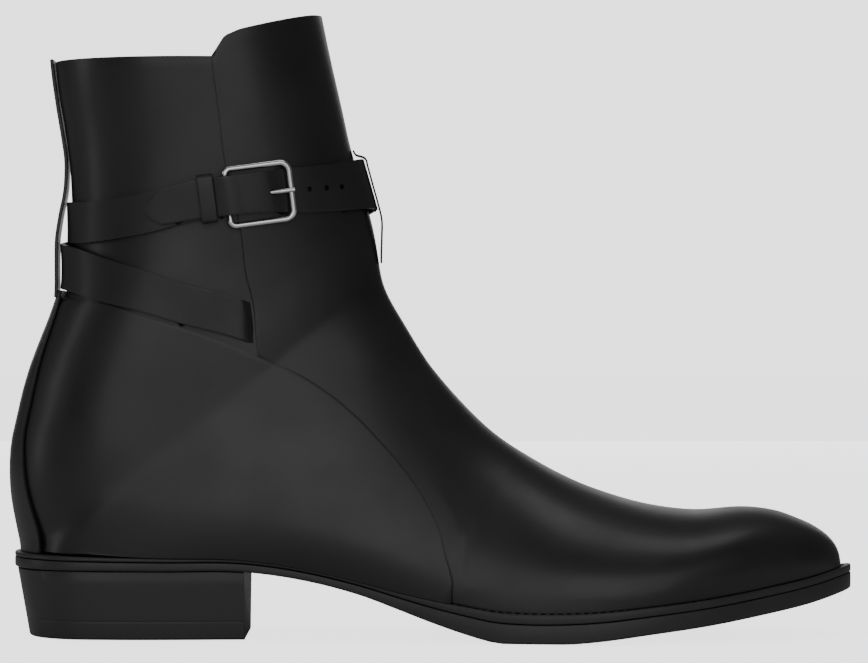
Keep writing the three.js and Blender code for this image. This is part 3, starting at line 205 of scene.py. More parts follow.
BUCKLE_STRAP = table("around middle width lift lean", [
    (108, 0.5295, 0.96, 0.4, 0), (97, 0.5475, 0.96, 0.4, 0), (88, 0.563, 0.96, 0.4, 0),
    (74, 0.598, 0.96, 0.4, 0),
    (60, 0.633, 0.96, 0.4, 0), (46, 0.666, 0.96, 0.4, 0), (32, 0.692, 0.96, 0.4, 0),
    (18, 0.71, 0.95, 0.4, 0), (6, 0.718, 0.94, 0.4, 0), (-6, 0.72, 0.94, 0.4, 0),
    (-18, 0.719, 0.95, 0.4, 0), (-30, 0.718, 0.95, 0.4, 0), (-42, 0.721, 0.94, 0.4, 0),
    (-54, 0.727, 0.92, 0.4, 0), (-66, 0.735, 0.91, 0.4, 0), (-77, 0.7475, 0.9, 0.4, 0),
    (-88, 0.7565, 0.88, 0.4, 0), (-96, 0.7605, 0.86, 0.4, 0),
])
STRAP_HOLES = table("around height", [
    (230.5, 0.7745), (221.5, 0.7768), (212.5, 0.7788),
])
BUCKLE_BAR = (-95.6, 0.7585)
BUCKLE_NOSE = (-120.9, 0.7735)
KEEPER_PLACE = (-87.8, 0.7572)
KEEPER_AHEAD = (-93, 0.7602)


def curve(places, values):
    """A smooth curve through rows, read at any place or array of places."""
    places, values = np.array(places, float), np.array(values, float)
    slope = np.diff(values) / np.diff(places)
    before, after = np.diff(places)[:-1], np.diff(places)[1:]
    middle = (slope[:-1] * after + slope[1:] * before) / (before + after)
    tangent = np.concatenate([slope[:1], middle, slope[-1:]])

    def read(place):
        place = np.asarray(place, float)
        i = np.clip(np.searchsorted(places, place) - 1, 0, len(places) - 2)
        span = places[i + 1] - places[i]
        u = (place - places[i]) / span
        level = values[i] * (1 + 2 * u) * (1 - u) ** 2 + values[i + 1] * (3 - 2 * u) * u ** 2
        leaving = tangent[i] * span * u * (1 - u) ** 2
        return level + leaving + tangent[i + 1] * span * u ** 2 * (u - 1)

    return read


OUTLINE_TURNS = np.arccos(1 - 2 * OUTLINE["at"])
HALF_WIDTH = curve(OUTLINE_TURNS, OUTLINE["half"])
SWING = curve(OUTLINE_TURNS, OUTLINE["swing"])
BOTTOM_CURVES = {name: curve(BOTTOM["at"], rows) for name, rows in BOTTOM.items() if name != "at"}
BACK_CURVE = curve(BACK["at"], BACK["in"])
ORDERS = np.arange(len(SECTIONS["x"]))
SECTION_CURVES = {name: curve(ORDERS, rows) for name, rows in SECTIONS.items()}
PANEL_X = curve(PANEL_EDGE["z"][::-1], PANEL_EDGE["x"][::-1])
QUARTER_X = curve(
    np.concatenate([QUARTER_SEAM["z"], QUARTER_TOP["z"]]),
    np.concatenate([QUARTER_SEAM["x"], QUARTER_TOP["x"]]),
)
PATCH_HALF = curve(BACK_PATCH["z"][::-1], BACK_PATCH["half"][::-1])


def outline_point(turn, side, inset):
    """A place on the sole's outline, moved in from the edge."""
    def place(angle):
        half, swing = HALF_WIDTH(angle) * BALL_WIDTH, SWING(angle) * BALL_WIDTH
        return SOLE_LENGTH * (1 - np.cos(angle)) / 2, swing + side * half

    ahead = place(np.minimum(turn + 0.002, np.pi))
    behind = place(np.maximum(turn - 0.002, 0))
    course_x, course_y = ahead[0] - behind[0], ahead[1] - behind[1]
    length = np.hypot(course_x, course_y)
    x, y = place(turn)
    return x + side * course_y / length * inset, y - side * course_x / length * inset


def bottom(x, column):
    return BOTTOM_CURVES[column](np.clip(np.asarray(x, float) / SOLE_LENGTH, 0, 1))


def bottom_sweep(x):
    return bottom(x, "heel") * HEEL_HEIGHT + bottom(x, "toe") * TOE_SPRING


def sole_underside(x):
    return np.maximum(0, bottom_sweep(x))


def outsole_top(x):
    return bottom_sweep(x) + bottom(x, "edge") * OUTSOLE_THICKNESS


def welt_top(x):
    return outsole_top(x) + GAP + bottom(x, "edge") * WELT_THICKNESS


def upper_foot(x):
    return welt_top(x) + GAP


BACK_FOOT = float(welt_top(0)) - FORM_DROP


def back_line(z):
    return BACK_CURVE((z - BACK_FOOT) / (COLLAR_HEIGHT - BACK_FOOT)) * SOLE_LENGTH


def section(order, side):
    """One slanting slice of the last, or an array of them."""
    part = {name: read(order) for name, read in SECTION_CURVES.items()}
    end = part["end"]
    ridge = part["ridge"] * BALL_WIDTH
    turn = np.arccos(np.clip(2 * np.maximum(end, 0) - 1, -1, 1))
    foot_x, foot_y = outline_point(turn, side, bottom((1 - end) * SOLE_LENGTH, "inset"))
    back_z = BACK_FOOT + (end - 1) * (COLLAR_HEIGHT - BACK_FOOT)
    closed = end >= 1
    end_x = np.where(closed, back_line(np.maximum(back_z, BACK_FOOT)), foot_x)
    end_y = np.where(closed, ridge, foot_y)
    end_z = np.where(closed, back_z, welt_top(foot_x) - FORM_DROP)
    outer, inner = ridge + part["outer"] * BALL_WIDTH, part["inner"] * BALL_WIDTH - ridge
    reach = np.maximum(np.where(side < 0, outer, inner), 0.001)
    share = np.minimum(np.abs(end_y - ridge) / reach, 0.985)
    return {
        "top_x": part["x"] * SOLE_LENGTH, "top_z": part["top"] * COLLAR_HEIGHT, "ridge": ridge,
        "end_x": end_x, "end_z": end_z, "reach": reach, "wide": part["wide"], "over": part["over"],
        "tuck": part["wide"] / np.sqrt(1 - share ** 2),
    }


def skin(order, side, share):
    """A place on the last: share runs from 0 at the front line to 1 at the slice's end."""
    cut = section(order, side)
    share = np.clip(share, 0, 1)
    angle = (1 - np.minimum(share / CREST_SHARE, 1)) * np.pi / 2
    crest_height = cut["wide"] + (1 - cut["wide"]) * np.sin(angle) ** (2 / cut["over"])
    crest_reach = np.maximum(np.cos(angle), 0) ** (2 / cut["over"])
    fall = np.sin(np.clip((share - CREST_SHARE) / (1 - CREST_SHARE), 0, 1) * np.pi / 2)
    under_reach = np.sqrt(np.maximum(1 - (cut["wide"] * fall / cut["tuck"]) ** 2, 0))
    crest = share < CREST_SHARE
    height = np.where(crest, crest_height, cut["wide"] * (1 - fall))
    reach = np.where(crest, crest_reach, under_reach)
    x = cut["end_x"] + (cut["top_x"] - cut["end_x"]) * height
    z = cut["end_z"] + (cut["top_z"] - cut["end_z"]) * height
    return x, cut["ridge"] + side * cut["reach"] * reach, z


def crossing(test, low, high):
    """Where a test turns from positive at low to negative at high, for arrays."""
    low, high = np.array(low, float), np.array(high, float)
    for _ in range(32):
        middle = (low + high) / 2
        inside = test(middle) > 0
        low, high = np.where(inside, middle, low), np.where(inside, high, middle)
    return (low + high) / 2


def leg_reach(side, x, z):
    """The sideways reach of the leg where a level line at height z crosses x."""
    def behind(order):
        cut = section(order, side)
        rise = (cut["top_x"] - cut["end_x"]) * (z - cut["end_z"])
        return rise - (cut["top_z"] - cut["end_z"]) * (x - cut["end_x"])

    one = np.ones(np.broadcast(x, z, side).shape)
    cut = section(crossing(behind, LEG_ORDER * one, ORDERS[-1] * one), side)
    length = np.hypot(cut["top_x"] - cut["end_x"], cut["top_z"] - cut["end_z"])
    share = np.clip(np.hypot(x - cut["end_x"], z - cut["end_z"]) / length, 0, 1)
    over = (share - cut["wide"]) / (1 - cut["wide"])
    under = (cut["wide"] - share) / cut["tuck"]
    power = np.where(share > cut["wide"], cut["over"], 2)
    fall = np.clip(np.maximum(over, under), 0, 1)
    return cut["ridge"] + side * cut["reach"] * (1 - fall ** power) ** (1 / power)


def front_line(z):
    one = np.ones(np.shape(z))
    order = crossing(lambda o: z - section(o, OUTER)["top_z"], LEG_ORDER * one, ORDERS[-1] * one)
    return section(order, OUTER)["top_x"]


def leg_point(around, z, lift=0.0):
    """Places on the leg by degrees around it from the back, and the way out of the leather."""
    around, z = np.broadcast_arrays(np.asarray(around, float), np.asarray(z, float))

    def bare(angle, height):
        back, front = back_line(height), front_line(height)
        x = (back + front) / 2 - (front - back) / 2 * np.cos(np.radians(angle))
        side = np.where(np.sin(np.radians(angle)) < 0, OUTER, INNER)
        return np.stack([x, leg_reach(side, x, height), height], -1)

    ahead = bare(around + 1.5, z) - bare(around - 1.5, z)
    upward = bare(around, z + 1.5) - bare(around, z - 1.5)
    out = np.cross(upward, ahead)
    out /= np.linalg.norm(out, axis=-1, keepdims=True)
    return bare(around, z) + out * np.asarray(lift)[..., None], out


def to_frame(points):
    """Millimetres of the last as metres in the shared frame."""
    return (np.asarray(points, float) - [HEEL_LENGTH / 2, 0, 0]) / 1000


def quarter_x(z):
    return QUARTER_X(np.clip(z / COLLAR_HEIGHT, QUARTER_SEAM["z"][0], QUARTER_TOP["z"][-1])) * SOLE_LENGTH


def panel_x(z):
    return PANEL_X(np.clip(z / COLLAR_HEIGHT, PANEL_EDGE["z"][-1], PANEL_EDGE["z"][0])) * SOLE_LENGTH


def tab_top(x):
    return np.interp(x / SOLE_LENGTH, TAB_TOP["x"], TAB_TOP["z"]) * COLLAR_HEIGHT


def panel_rise(z):
    """How far the front panel stands proud of the leg, dying away over the instep."""
    start, full = 0.3527 * COLLAR_HEIGHT, 0.5891 * COLLAR_HEIGHT
    share = np.clip((z - start) / (full - start), 0, 1)
    return np.maximum(0, (2 * share ** 2 * (3 - 2 * share) - 1) * PANEL_STEP)


def scalar_crossing(test, low, high):
    return float(crossing(test, np.array([low]), np.array([high]))[0])


def above_foot(x, y, z):
    return z - upper_foot(x)


# The slices that start at the toe's tip and that end on the back line at the foot
TOE_ORDER = scalar_crossing(lambda o: -above_foot(*skin(o, OUTER, 0)), 0.3, 3)
BACK_ORDER = scalar_crossing(lambda o: -above_foot(*skin(o, OUTER, 1)), FAN_END, 19.5)


def slice_orders(toe_steps, foot_range, fan_steps, back_range, leg_step):
    """Orders of slices, closer together at the toe and where they fan round the heel."""
    return np.concatenate([
        TOE_ORDER + (3 - TOE_ORDER) * np.linspace(0, 1, toe_steps) ** 2,
        np.arange(*foot_range),
        FAN_START + np.sin(np.linspace(0, 1, fan_steps) * np.pi / 2),
        FAN_END + (BACK_ORDER - FAN_END) * np.sin(np.linspace(*back_range) * np.pi / 2),
        np.arange(BACK_ORDER + leg_step, LAST_ORDER, leg_step),
    ])


FINE_ORDERS = slice_orders(60, (3.02, 17, 0.04), 60, (0.02, 1, 40), 0.03)
SLICE_ORDERS = slice_orders(16, (3.2, 16.9, 0.2), 12, (0.12, 1, 8), 0.15)


def edge_share(side, test, low=0.0):
    """The share of each slice at which a test on the last's places turns negative."""
    one = np.ones(len(FINE_ORDERS))
    shares = crossing(lambda share: test(*skin(FINE_ORDERS, side, share)), low * one, one)
    return lambda order: np.interp(order, FINE_ORDERS, shares)


FOOT_SHARE = {side: edge_share(side, above_foot) for side in (OUTER, INNER)}


def only(piece):
    """Select one piece alone and make it the active one."""
    bpy.ops.object.select_all(action="DESELECT")
    piece.select_set(True)
    bpy.context.view_layer.objects.active = piece
    return piece


def named(piece, name):
    piece.name = piece.data.name = name
    return piece


def grid_piece(name, places):
    """A grid whose corners are laid on places, rows by columns."""
    rows, columns = places.shape[:2]
    bpy.ops.object.select_all(action="DESELECT")
    bpy.ops.mesh.primitive_grid_add(x_subdivisions=columns - 1, y_subdivisions=rows - 1, size=1)
    piece = named(bpy.context.object, name)
    piece.data.vertices.foreach_set("co", to_frame(places).ravel())
    piece.data.update()
    return piece


def join(name, pieces):
    bpy.ops.object.select_all(action="DESELECT")
    for piece in pieces:
        piece.select_set(True)
    bpy.context.view_layer.objects.active = pieces[0]
    bpy.ops.object.join()
    return named(pieces[0], name)


def weld(piece, closed=False):
    """Merge corners that lie together; a closed shape is filled and faced outwards."""
    only(piece)
    bpy.ops.object.mode_set(mode="EDIT")
    bpy.ops.mesh.select_all(action="SELECT")
    bpy.ops.mesh.remove_doubles(threshold=2e-5)
    if closed:
        bpy.ops.mesh.fill_holes(sides=0)
        bpy.ops.mesh.normals_make_consistent(inside=False)
    bpy.ops.object.mode_set(mode="OBJECT")
    return piece


def finish_with(piece, kind, **settings):
    """Add one modifier with its settings and apply it."""
    only(piece)
    modifier = piece.modifiers.new(kind.title(), kind)
    for key, value in settings.items():
        setattr(modifier, key, value)
    bpy.ops.object.modifier_apply(modifier=modifier.name)
    return piece


def stand_off(piece, lift):
    """Lift the corners along their normals: lift reads places in millimetres of the last."""
    mesh = piece.data
    places = np.empty(len(mesh.vertices) * 3)
    normals = np.empty(len(mesh.vertices) * 3)
    mesh.vertices.foreach_get("co", places)
    mesh.vertex_normals.foreach_get("vector", normals)
    places, normals = places.reshape(-1, 3), normals.reshape(-1, 3)
    last = places * 1000 + [HEEL_LENGTH / 2, 0, 0]
    height = lift(*last.T) if callable(lift) else lift
    places += normals * np.reshape(height, (-1, 1)) / 1000
    mesh.vertices.foreach_set("co", places.ravel())
    mesh.update()
    return piece


def relaxed(piece, reach=11.0, repeats=90):
    """Ease the skin where the slices turn from the foot to the back of the heel."""
    cut = section(np.array([18.0]), OUTER)
    foot = np.array([cut["end_x"][0], cut["end_z"][0]])
    course = np.array([cut["top_x"][0], cut["top_z"][0]]) - foot
    course /= np.linalg.norm(course)
    group = piece.vertex_groups.new(name="fold")
    rims = {k for edge in boundary_edges(piece.data) for k in edge}
    for vertex in piece.data.vertices:
        x, z = vertex.co.x * 1000 + HEEL_LENGTH / 2 - foot[0], vertex.co.z * 1000 - foot[1]
        away = x * course[1] - z * course[0]
        if vertex.index not in rims:
            group.add([vertex.index], math.exp(-((away / reach) ** 2)), "REPLACE")
    finish_with(piece, "SMOOTH", factor=0.5, iterations=repeats, vertex_group="fold")
    piece.vertex_groups.clear()
    return piece


def boundary_edges(mesh):
    """The edges that lie along the rim of a sheet."""
    uses = {}
    for face in mesh.polygons:
        for edge in face.edge_keys:
            uses[edge] = uses.get(edge, 0) + 1
    return [edge for edge, count in uses.items() if count == 1]


def smoothed(piece, sharp):
    """Shade a piece smooth, but for its edges past an angle in degrees."""
    only(piece)
    bpy.ops.object.shade_smooth_by_angle(angle=math.radians(sharp))
    return piece


def walled(piece, thickness, rounding=CUT_EDGE):
    """Give a sheet its thickness inwards and round its cut edges."""
    finish_with(piece, "SOLIDIFY", thickness=thickness / 1000, offset=-1.0)
    finish_with(
        piece, "BEVEL", width=rounding / 1000, segments=2, limit_method="ANGLE",
        angle_limit=math.radians(52),
    )
    return smoothed(piece, LEATHER_SHARP)


def dressed(piece, slot, material, *nodes):
    """Give a piece its finish, the body it rides on and the solids it stands for."""
    piece.data.materials.clear()
    piece.data.materials.append(material)
    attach(piece, "root")
    if nodes:
        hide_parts(*nodes)
    return piece


def skin_sheet(side, orders, fractions, start, finish, top=None, turn=LEG_TURN, top_rows=18):
    """Places of one half of a leather, from start to finish on every slice, up to a top line."""
    orders = np.array(orders, float)
    if top is not None:
        orders = orders[orders < turn]
    field = np.repeat(orders[:, None], len(fractions), 1)
    if top is not None:
        def below(order):
            x, y, z = skin(order, side, start(order) + (finish(order) - start(order)) * fractions)
            return top(x) - z

        ends = crossing(below, np.full(len(fractions), turn - 1.5), np.full(len(fractions), 25.9))
        steps = np.linspace(0, 1, top_rows)[:, None]
        field = np.concatenate([field, turn + (ends - turn) * steps])
    share = start(field) + (finish(field) - start(field)) * fractions
    return np.stack(skin(field, side, share), -1)


def eased(count, ease=0.5):
    """Fractions from 0 to 1, drawn together towards both ends."""
    even = np.linspace(0, 1, count)
    return even * (1 - ease) + ease * (1 - np.cos(even * np.pi)) / 2


def two_halves(name, make):
    """Both halves of a leather from one recipe, sewn together at the back."""
    inner, outer = make(INNER), make(OUTER)[:, ::-1]
    return weld(join(name, [grid_piece(name, outer), grid_piece(name + "_inner", inner)]))


def slices_between(first, last):
    inside = SLICE_ORDERS[(SLICE_ORDERS > first + 0.02) & (SLICE_ORDERS < last - 0.02)]
    return np.concatenate([[first], inside, [last]])


def lining_sheet():
    """The lining of the whole boot, a little lower than the top line."""
    fractions = eased(40)

    def half(side):
        return skin_sheet(
            side, SLICE_ORDERS, fractions, lambda o: 0 * o, FOOT_SHARE[side],
            lambda x: np.where(x > panel_x(COLLAR_HEIGHT), tab_top(x), COLLAR_HEIGHT) - LINING_DROP,
        )

    piece = two_halves("lining", half)
    return walled(stand_off(piece, -LINING_OFFSET), UPPER_WALL - LINING_OFFSET, 0.25)


def leg_back_sheet():
    """The back part of the leg, from under the front panel round the back."""
    def half(side):
        edge = edge_share(side, lambda x, y, z: x - panel_x(z) - PANEL_LAP)
        return skin_sheet(
            side, slices_between(BACK_ORDER, 25), eased(34), edge, lambda o: 0 * o + 1,
            lambda x: np.full(np.shape(x), COLLAR_HEIGHT),
        )

    return walled(two_halves("leg_back", half), LEATHER_WALL)


# The edge of the vamp under the quarter shows as a soft ridge low down, ahead of the seam
UNDERLAP_AHEAD, UNDERLAP_WIDTH, UNDERLAP_RISE, UNDERLAP_TOP = 7.5, 1.6, 0.22, 62


def front_sheet():
    """The vamp and front panel in one leather, with the tab at the top."""
    def beyond(x, y, z):
        low = z < QUARTER_SEAM["z"][-1] * COLLAR_HEIGHT
        joint = np.where(low, quarter_x(z) - SEAM_LAP, panel_x(z))
        return np.minimum(x - joint, z - upper_foot(x))

    halves = []
    for side in (OUTER, INNER):
        edge = edge_share(side, beyond)
        sheet = skin_sheet(side, SLICE_ORDERS, eased(44, 0.35), lambda o: 0 * o, edge, tab_top)
        halves.append(sheet[:, ::-1][:, :-1] if side == OUTER else sheet)
    piece = relaxed(weld(grid_piece("front_leather", np.concatenate(halves, 1))))

    def rise(x, y, z):
        ahead = x - quarter_x(z) - UNDERLAP_AHEAD
        low = np.clip((UNDERLAP_TOP - z) / 20, 0, 1)
        return panel_rise(z) + UNDERLAP_RISE * low * np.exp(-(ahead / UNDERLAP_WIDTH) ** 2)

    return walled(stand_off(piece, rise), LEATHER_WALL)


def quarter_sheet():
    """The quarter over the vamp, closed round the heel."""
    def half(side):
        edge = edge_share(side, lambda x, y, z: x - quarter_x(z))
        foot = FOOT_SHARE[side]
        first = scalar_crossing(lambda o: edge(o) - foot(o), 9, 18)
        last = scalar_crossing(lambda o: 0.9995 - edge(o), 19, 24)
        start = lambda o: np.minimum(edge(o), foot(o))
        return skin_sheet(side, slices_between(first, last), eased(60, 0.3), start, foot)

    piece = relaxed(two_halves("quarter_leather", half))
    return walled(stand_off(piece, GAP + QUARTER_THICKNESS), QUARTER_THICKNESS, 0.45)


def smooth_line(points, steps):
    """A Catmull-Rom line through points, with its direction at every step."""
    points = np.array(points, float)
    padded = np.concatenate([2 * points[:1] - points[1:2], points, 2 * points[-1:] - points[-2:-1]])
    place = np.linspace(0, len(points) - 1, steps)
    k = np.minimum(place.astype(int), len(points) - 2)
    u = (place - k)[:, None]
    a, b, c, d = padded[k], padded[k + 1], padded[k + 2], padded[k + 3]
    bend, twist = 2 * a - 5 * b + 4 * c - d, 3 * b - a - 3 * c + d
    line = 0.5 * (2 * b + (c - a) * u + bend * u ** 2 + twist * u ** 3)
    course = np.gradient(line, axis=0)
    return line, course / np.linalg.norm(course, axis=1, keepdims=True)


def side_strip(name, points, thickness, width):
    """A strip across the boot whose inner face follows a line in the side view."""
    line, course = smooth_line(points, len(points) * 7)
    out = np.stack([course[:, 1], -course[:, 0]], 1) * np.sign(thickness)
    across = np.linspace(-1, 1, 9) * width / 2 * np.sign(thickness)
    face = np.repeat((line + out * abs(thickness))[:, None], len(across), 1)
    places = np.stack([face[..., 0], np.broadcast_to(across, face.shape[:2]), face[..., 1]], -1)
    return walled(grid_piece(name, places), abs(thickness))


def backstay_piece():
    """The back strip down the leg, its free loop and the patch down the heel."""
    heights = [COLLAR_HEIGHT + BACKSTAY_THICKNESS]
    heights += [share * COLLAR_HEIGHT for share in (0.97, 0.92, 0.87, 0.83)]
    points = [(float(back_line(z)) - GAP, z) for z in heights]
    points += [(x * SOLE_LENGTH, z * COLLAR_HEIGHT) for x, z in zip(BACK_LOOP["x"], BACK_LOOP["z"])]
    strip = side_strip("back_strip", points, BACKSTAY_THICKNESS, BACK_STRIP_WIDTH)

    def half(side):
        def wide(x, y, z):
            share = np.clip(z / COLLAR_HEIGHT, BACK_PATCH["z"][-1], BACK_PATCH["z"][0])
            return np.abs(y) - PATCH_HALF(share) * BALL_WIDTH

        edge = edge_share(side, wide, CREST_SHARE)
        foot = FOOT_SHARE[side]
        first = scalar_crossing(lambda o: edge(o) - foot(o), 16, 18.2)
        start = lambda o: np.minimum(edge(o), foot(o))
        return skin_sheet(
            side, slices_between(first, 25), eased(16), start, foot,
            lambda x: np.full(np.shape(x), BACK_PATCH["z"][0] * COLLAR_HEIGHT), 20.5, 12,
        )

    offset = 2 * GAP + QUARTER_THICKNESS + BACKSTAY_THICKNESS
    patch = walled(stand_off(two_halves("back_patch", half), offset), BACKSTAY_THICKNESS, 0.35)
    return join("backstay_leather", [strip, patch])


# The sewn ends of the straps dip under the front panel's edge
TUCK_START, TUCK_LENGTH, TUCK_DEPTH = 4.5, 4.8, 2.5


def strap_sheet(name, rows, tucked):
    """A strap round the leg from its stations, its sewn end tucked under the front panel."""
    order = np.argsort(rows["around"])
    stations = {key: column[order] for key, column in rows.items()}
    around = stations["around"]
    steps = np.unique(np.concatenate([np.arange(around[0], around[-1], 1.6), around]))
    read = {key: curve(around, stations[key])(steps)[:, None] for key in ("middle", "lift", "lean")}
    half = np.interp(steps, around, stations["width"])[:, None] * STRAP_WIDTH / 2
    k = np.array([-1, -0.9, -0.6, -0.3, 0, 0.3, 0.6, 0.9, 1])
    z = read["middle"] * COLLAR_HEIGHT + k * half
    lift = read["lift"] + k * read["lean"] + STRAP_THICKNESS
    bare, out = leg_point(steps[:, None], z)
    sewn = tucked * steps[:, None] > 80
    under = np.clip((bare[..., 0] - panel_x(z) + TUCK_START) / TUCK_LENGTH, 0, 1) * sewn
    lift = lift - TUCK_DEPTH * under ** 2 * (3 - 2 * under)
    places, out = leg_point(steps[:, None], z, lift)
    return walled(grid_piece(name, places), STRAP_THICKNESS, 0.42)


def tube(name, places, radii, closed=False, sides=5):
    """A round bar along places, each with a radius of its own."""
    shape = bpy.data.curves.new(name, "CURVE")
    shape.dimensions = "3D"
    shape.bevel_depth = 0.001
    shape.bevel_resolution = sides
    shape.use_fill_caps = not closed
    line = shape.splines.new("POLY")
    line.points.add(len(places) - 1)
    line.use_cyclic_u = closed
    for point, place, radius in zip(line.points, to_frame(places), radii):
        point.co = (*place, 1)
        point.radius = radius
    bar = bpy.data.objects.new(name, shape)
    bpy.context.collection.objects.link(bar)
    only(bar)
    bpy.ops.object.convert(target="MESH")
    bar = named(bpy.context.object, name)
    return smoothed(weld(bar, closed=True), WIRE_SHARP)


def cut_out(piece, cutter):
    """Take a cutter's shape out of a piece and remove the cutter."""
    finish_with(piece, "BOOLEAN", object=cutter, operation="DIFFERENCE", solver="EXACT", use_self=True)
    if not piece.data.polygons:
        raise RuntimeError(piece.name + " was lost by its cut")
    bpy.data.objects.remove(cutter)
    return piece


def seat(start, finish, height):
    """Axes on the leather at a place: towards the next place, out and across."""
    here, out_here = leg_point(start[0], start[1] * COLLAR_HEIGHT, height)
    there, out_there = leg_point(finish[0], finish[1] * COLLAR_HEIGHT, height)
    forward = (there - here) / np.linalg.norm(there - here)
    out = out_here + out_there
    out = out - out.dot(forward) * forward
    out /= np.linalg.norm(out)
    return here, forward, np.cross(out, forward), out


BAR_HEIGHT = 2.5 * GAP + STRAP_THICKNESS + BUCKLE_BAR_WIRE / 2
NOSE_HEIGHT = PANEL_STEP + 2.5 * GAP + STRAP_THICKNESS + BUCKLE_WIRE / 2
BAR_PLACE, BAR_OUT = leg_point(BUCKLE_BAR[0], BUCKLE_BAR[1] * COLLAR_HEIGHT, BAR_HEIGHT)
NOSE_PLACE, NOSE_OUT = leg_point(BUCKLE_NOSE[0], BUCKLE_NOSE[1] * COLLAR_HEIGHT, NOSE_HEIGHT)
BUCKLE_FORWARD = (NOSE_PLACE - BAR_PLACE) / np.linalg.norm(NOSE_PLACE - BAR_PLACE)
BUCKLE_OUT = BAR_OUT + NOSE_OUT - (BAR_OUT + NOSE_OUT).dot(BUCKLE_FORWARD) * BUCKLE_FORWARD
BUCKLE_OUT = BUCKLE_OUT / np.linalg.norm(BUCKLE_OUT)
BUCKLE_UP = np.cross(BUCKLE_FORWARD, BUCKLE_OUT)
BUCKLE_UP = BUCKLE_UP * np.sign(BUCKLE_UP[2])


def buckle_place(ahead, up, out=0.0):
    return BAR_PLACE + BUCKLE_FORWARD * ahead + BUCKLE_UP * up + BUCKLE_OUT * out


def prong_places():
    rest = (BUCKLE_WIRE + PRONG_WIRE) / 2 + GAP
    under = (BUCKLE_BAR_WIRE + PRONG_WIRE) / 2 + GAP
    along = [
        (under, -0.35), (BUCKLE_LENGTH * 0.35, -0.75), (BUCKLE_LENGTH * 0.56, -0.75),
        (BUCKLE_LENGTH * 0.7, 0.6), (BUCKLE_LENGTH * 0.84, rest - 0.3), (BUCKLE_LENGTH, rest),
        (BUCKLE_LENGTH + BUCKLE_WIRE * 0.35, rest),
    ]
    line, course = smooth_line(along, 40)
    return np.array([buckle_place(ahead, 0, out) for ahead, out in line])


def buckle_frame_piece():
    """The frame's three sides round the strap, with a thinner bar under it."""
    half, places, radii = BUCKLE_WIDTH / 2, [], []

    def corner(ahead, up, reach, start):
        for k in range(9):
            angle = start + k * math.pi / 16
            places.append(buckle_place(ahead + reach * math.cos(angle), up + reach * math.sin(angle)))
            radii.append(BUCKLE_WIRE / 2)

    nose, heel, bar = BUCKLE_CORNER, BUCKLE_CORNER * 0.6, STRAP_WIDTH * 0.455
    corner(BUCKLE_LENGTH - nose, half - nose, nose, 0)
    corner(heel, half - heel, heel, math.pi / 2)
    places += [buckle_place(0, bar), buckle_place(0, -bar)]
    radii += [BUCKLE_BAR_WIRE / 2] * 2
    corner(heel, heel - half, heel, math.pi)
    corner(BUCKLE_LENGTH - nose, nose - half, nose, 1.5 * math.pi)
    return tube("buckle_ring", places, radii, closed=True, sides=6)


def prong_piece():
    places = prong_places()
    return tube("prong", places, [PRONG_WIRE / 2] * len(places))


def wrap_strap_piece():
    """The long strap with its pointed end, its spare holes and the prong's hole."""
    piece = strap_sheet("long_strap", WRAP_STRAP, -1)
    for around, height in zip(STRAP_HOLES["around"], STRAP_HOLES["height"]):
        place, out = leg_point(around, height * COLLAR_HEIGHT)
        ends = [place - out * STRAP_WIDTH / 2, place + out * STRAP_WIDTH / 2]
        cut_out(piece, tube("hole", ends, [HOLE_RADIUS] * 2, sides=8))
    places = prong_places()
    cut_out(piece, tube("prong_hole", places, [PRONG_WIRE / 2 + GAP] * len(places)))
    return smoothed(piece, LEATHER_SHARP)


def keeper_piece():
    """The fixed keeper that bridges both straps."""
    place, forward, sideways, out = seat(KEEPER_PLACE, KEEPER_AHEAD, 0)
    stack = 2 * (GAP + STRAP_THICKNESS) + 3 * GAP + 0.4 + KEEPER_THICKNESS
    half = STRAP_WIDTH * 0.88 / 2 + GAP + 0.35 + KEEPER_THICKNESS
    turn = np.linspace(0, np.pi / 2, 6)
    corner = 1.4
    right = [(half, 0.4), (half, stack / 2)] + [
        (half - corner + corner * math.cos(a), stack - corner + corner * math.sin(a)) for a in turn]
    bridge = right + [(0.35 * half, stack + 0.05), (-0.35 * half, stack + 0.05)]
    bridge += [(-a, b) for a, b in right[::-1]]
    along = np.linspace(-1, 1, 7) * KEEPER_LENGTH / 2
    places = np.array([[place + sideways * a + out * b + forward * c for c in along] for a, b in bridge])
    piece = grid_piece("keeper", places)
    return walled(stand_outwards(piece, place), KEEPER_THICKNESS)


def stand_outwards(piece, centre):
    """Turn an open sheet's faces over where they look towards a place."""
    mesh = piece.data
    middle = Vector(to_frame(centre))
    toward = sum(face.area * face.normal.dot(face.center - middle) for face in mesh.polygons)
    if toward < 0:
        mesh.flip_normals()
    return piece


def front_loop_piece():
    """The thin loop that holds the long strap against the front of the leg."""
    strap = {name: column[WRAP_STRAP["around"] == 180][0] for name, column in WRAP_STRAP.items()}
    middle = strap["middle"] * COLLAR_HEIGHT
    top, foot = middle + STRAP_WIDTH * 0.57, middle - STRAP_WIDTH * 0.57
    clear = strap["lift"] + STRAP_THICKNESS + 1.5 * GAP
    heights = [
        (top + 4.4, PANEL_STEP + GAP), (top + 2.6, PANEL_STEP + GAP + 0.8), (top + 1.4, clear),
        (top - 1.5, clear + 0.1), (middle, clear), (foot + 3, clear), (foot - 3, clear - 0.3),
        (foot - 9, clear - 1.7), (foot - 15, clear - 3), (foot - 19, PANEL_STEP + GAP),
    ]
    points = [(float(front_line(np.array([z]))[0]) + lift, z) for z, lift in heights]
    return side_strip("strap_loop", points, -FRONT_LOOP_THICKNESS, FRONT_LOOP_WIDTH)


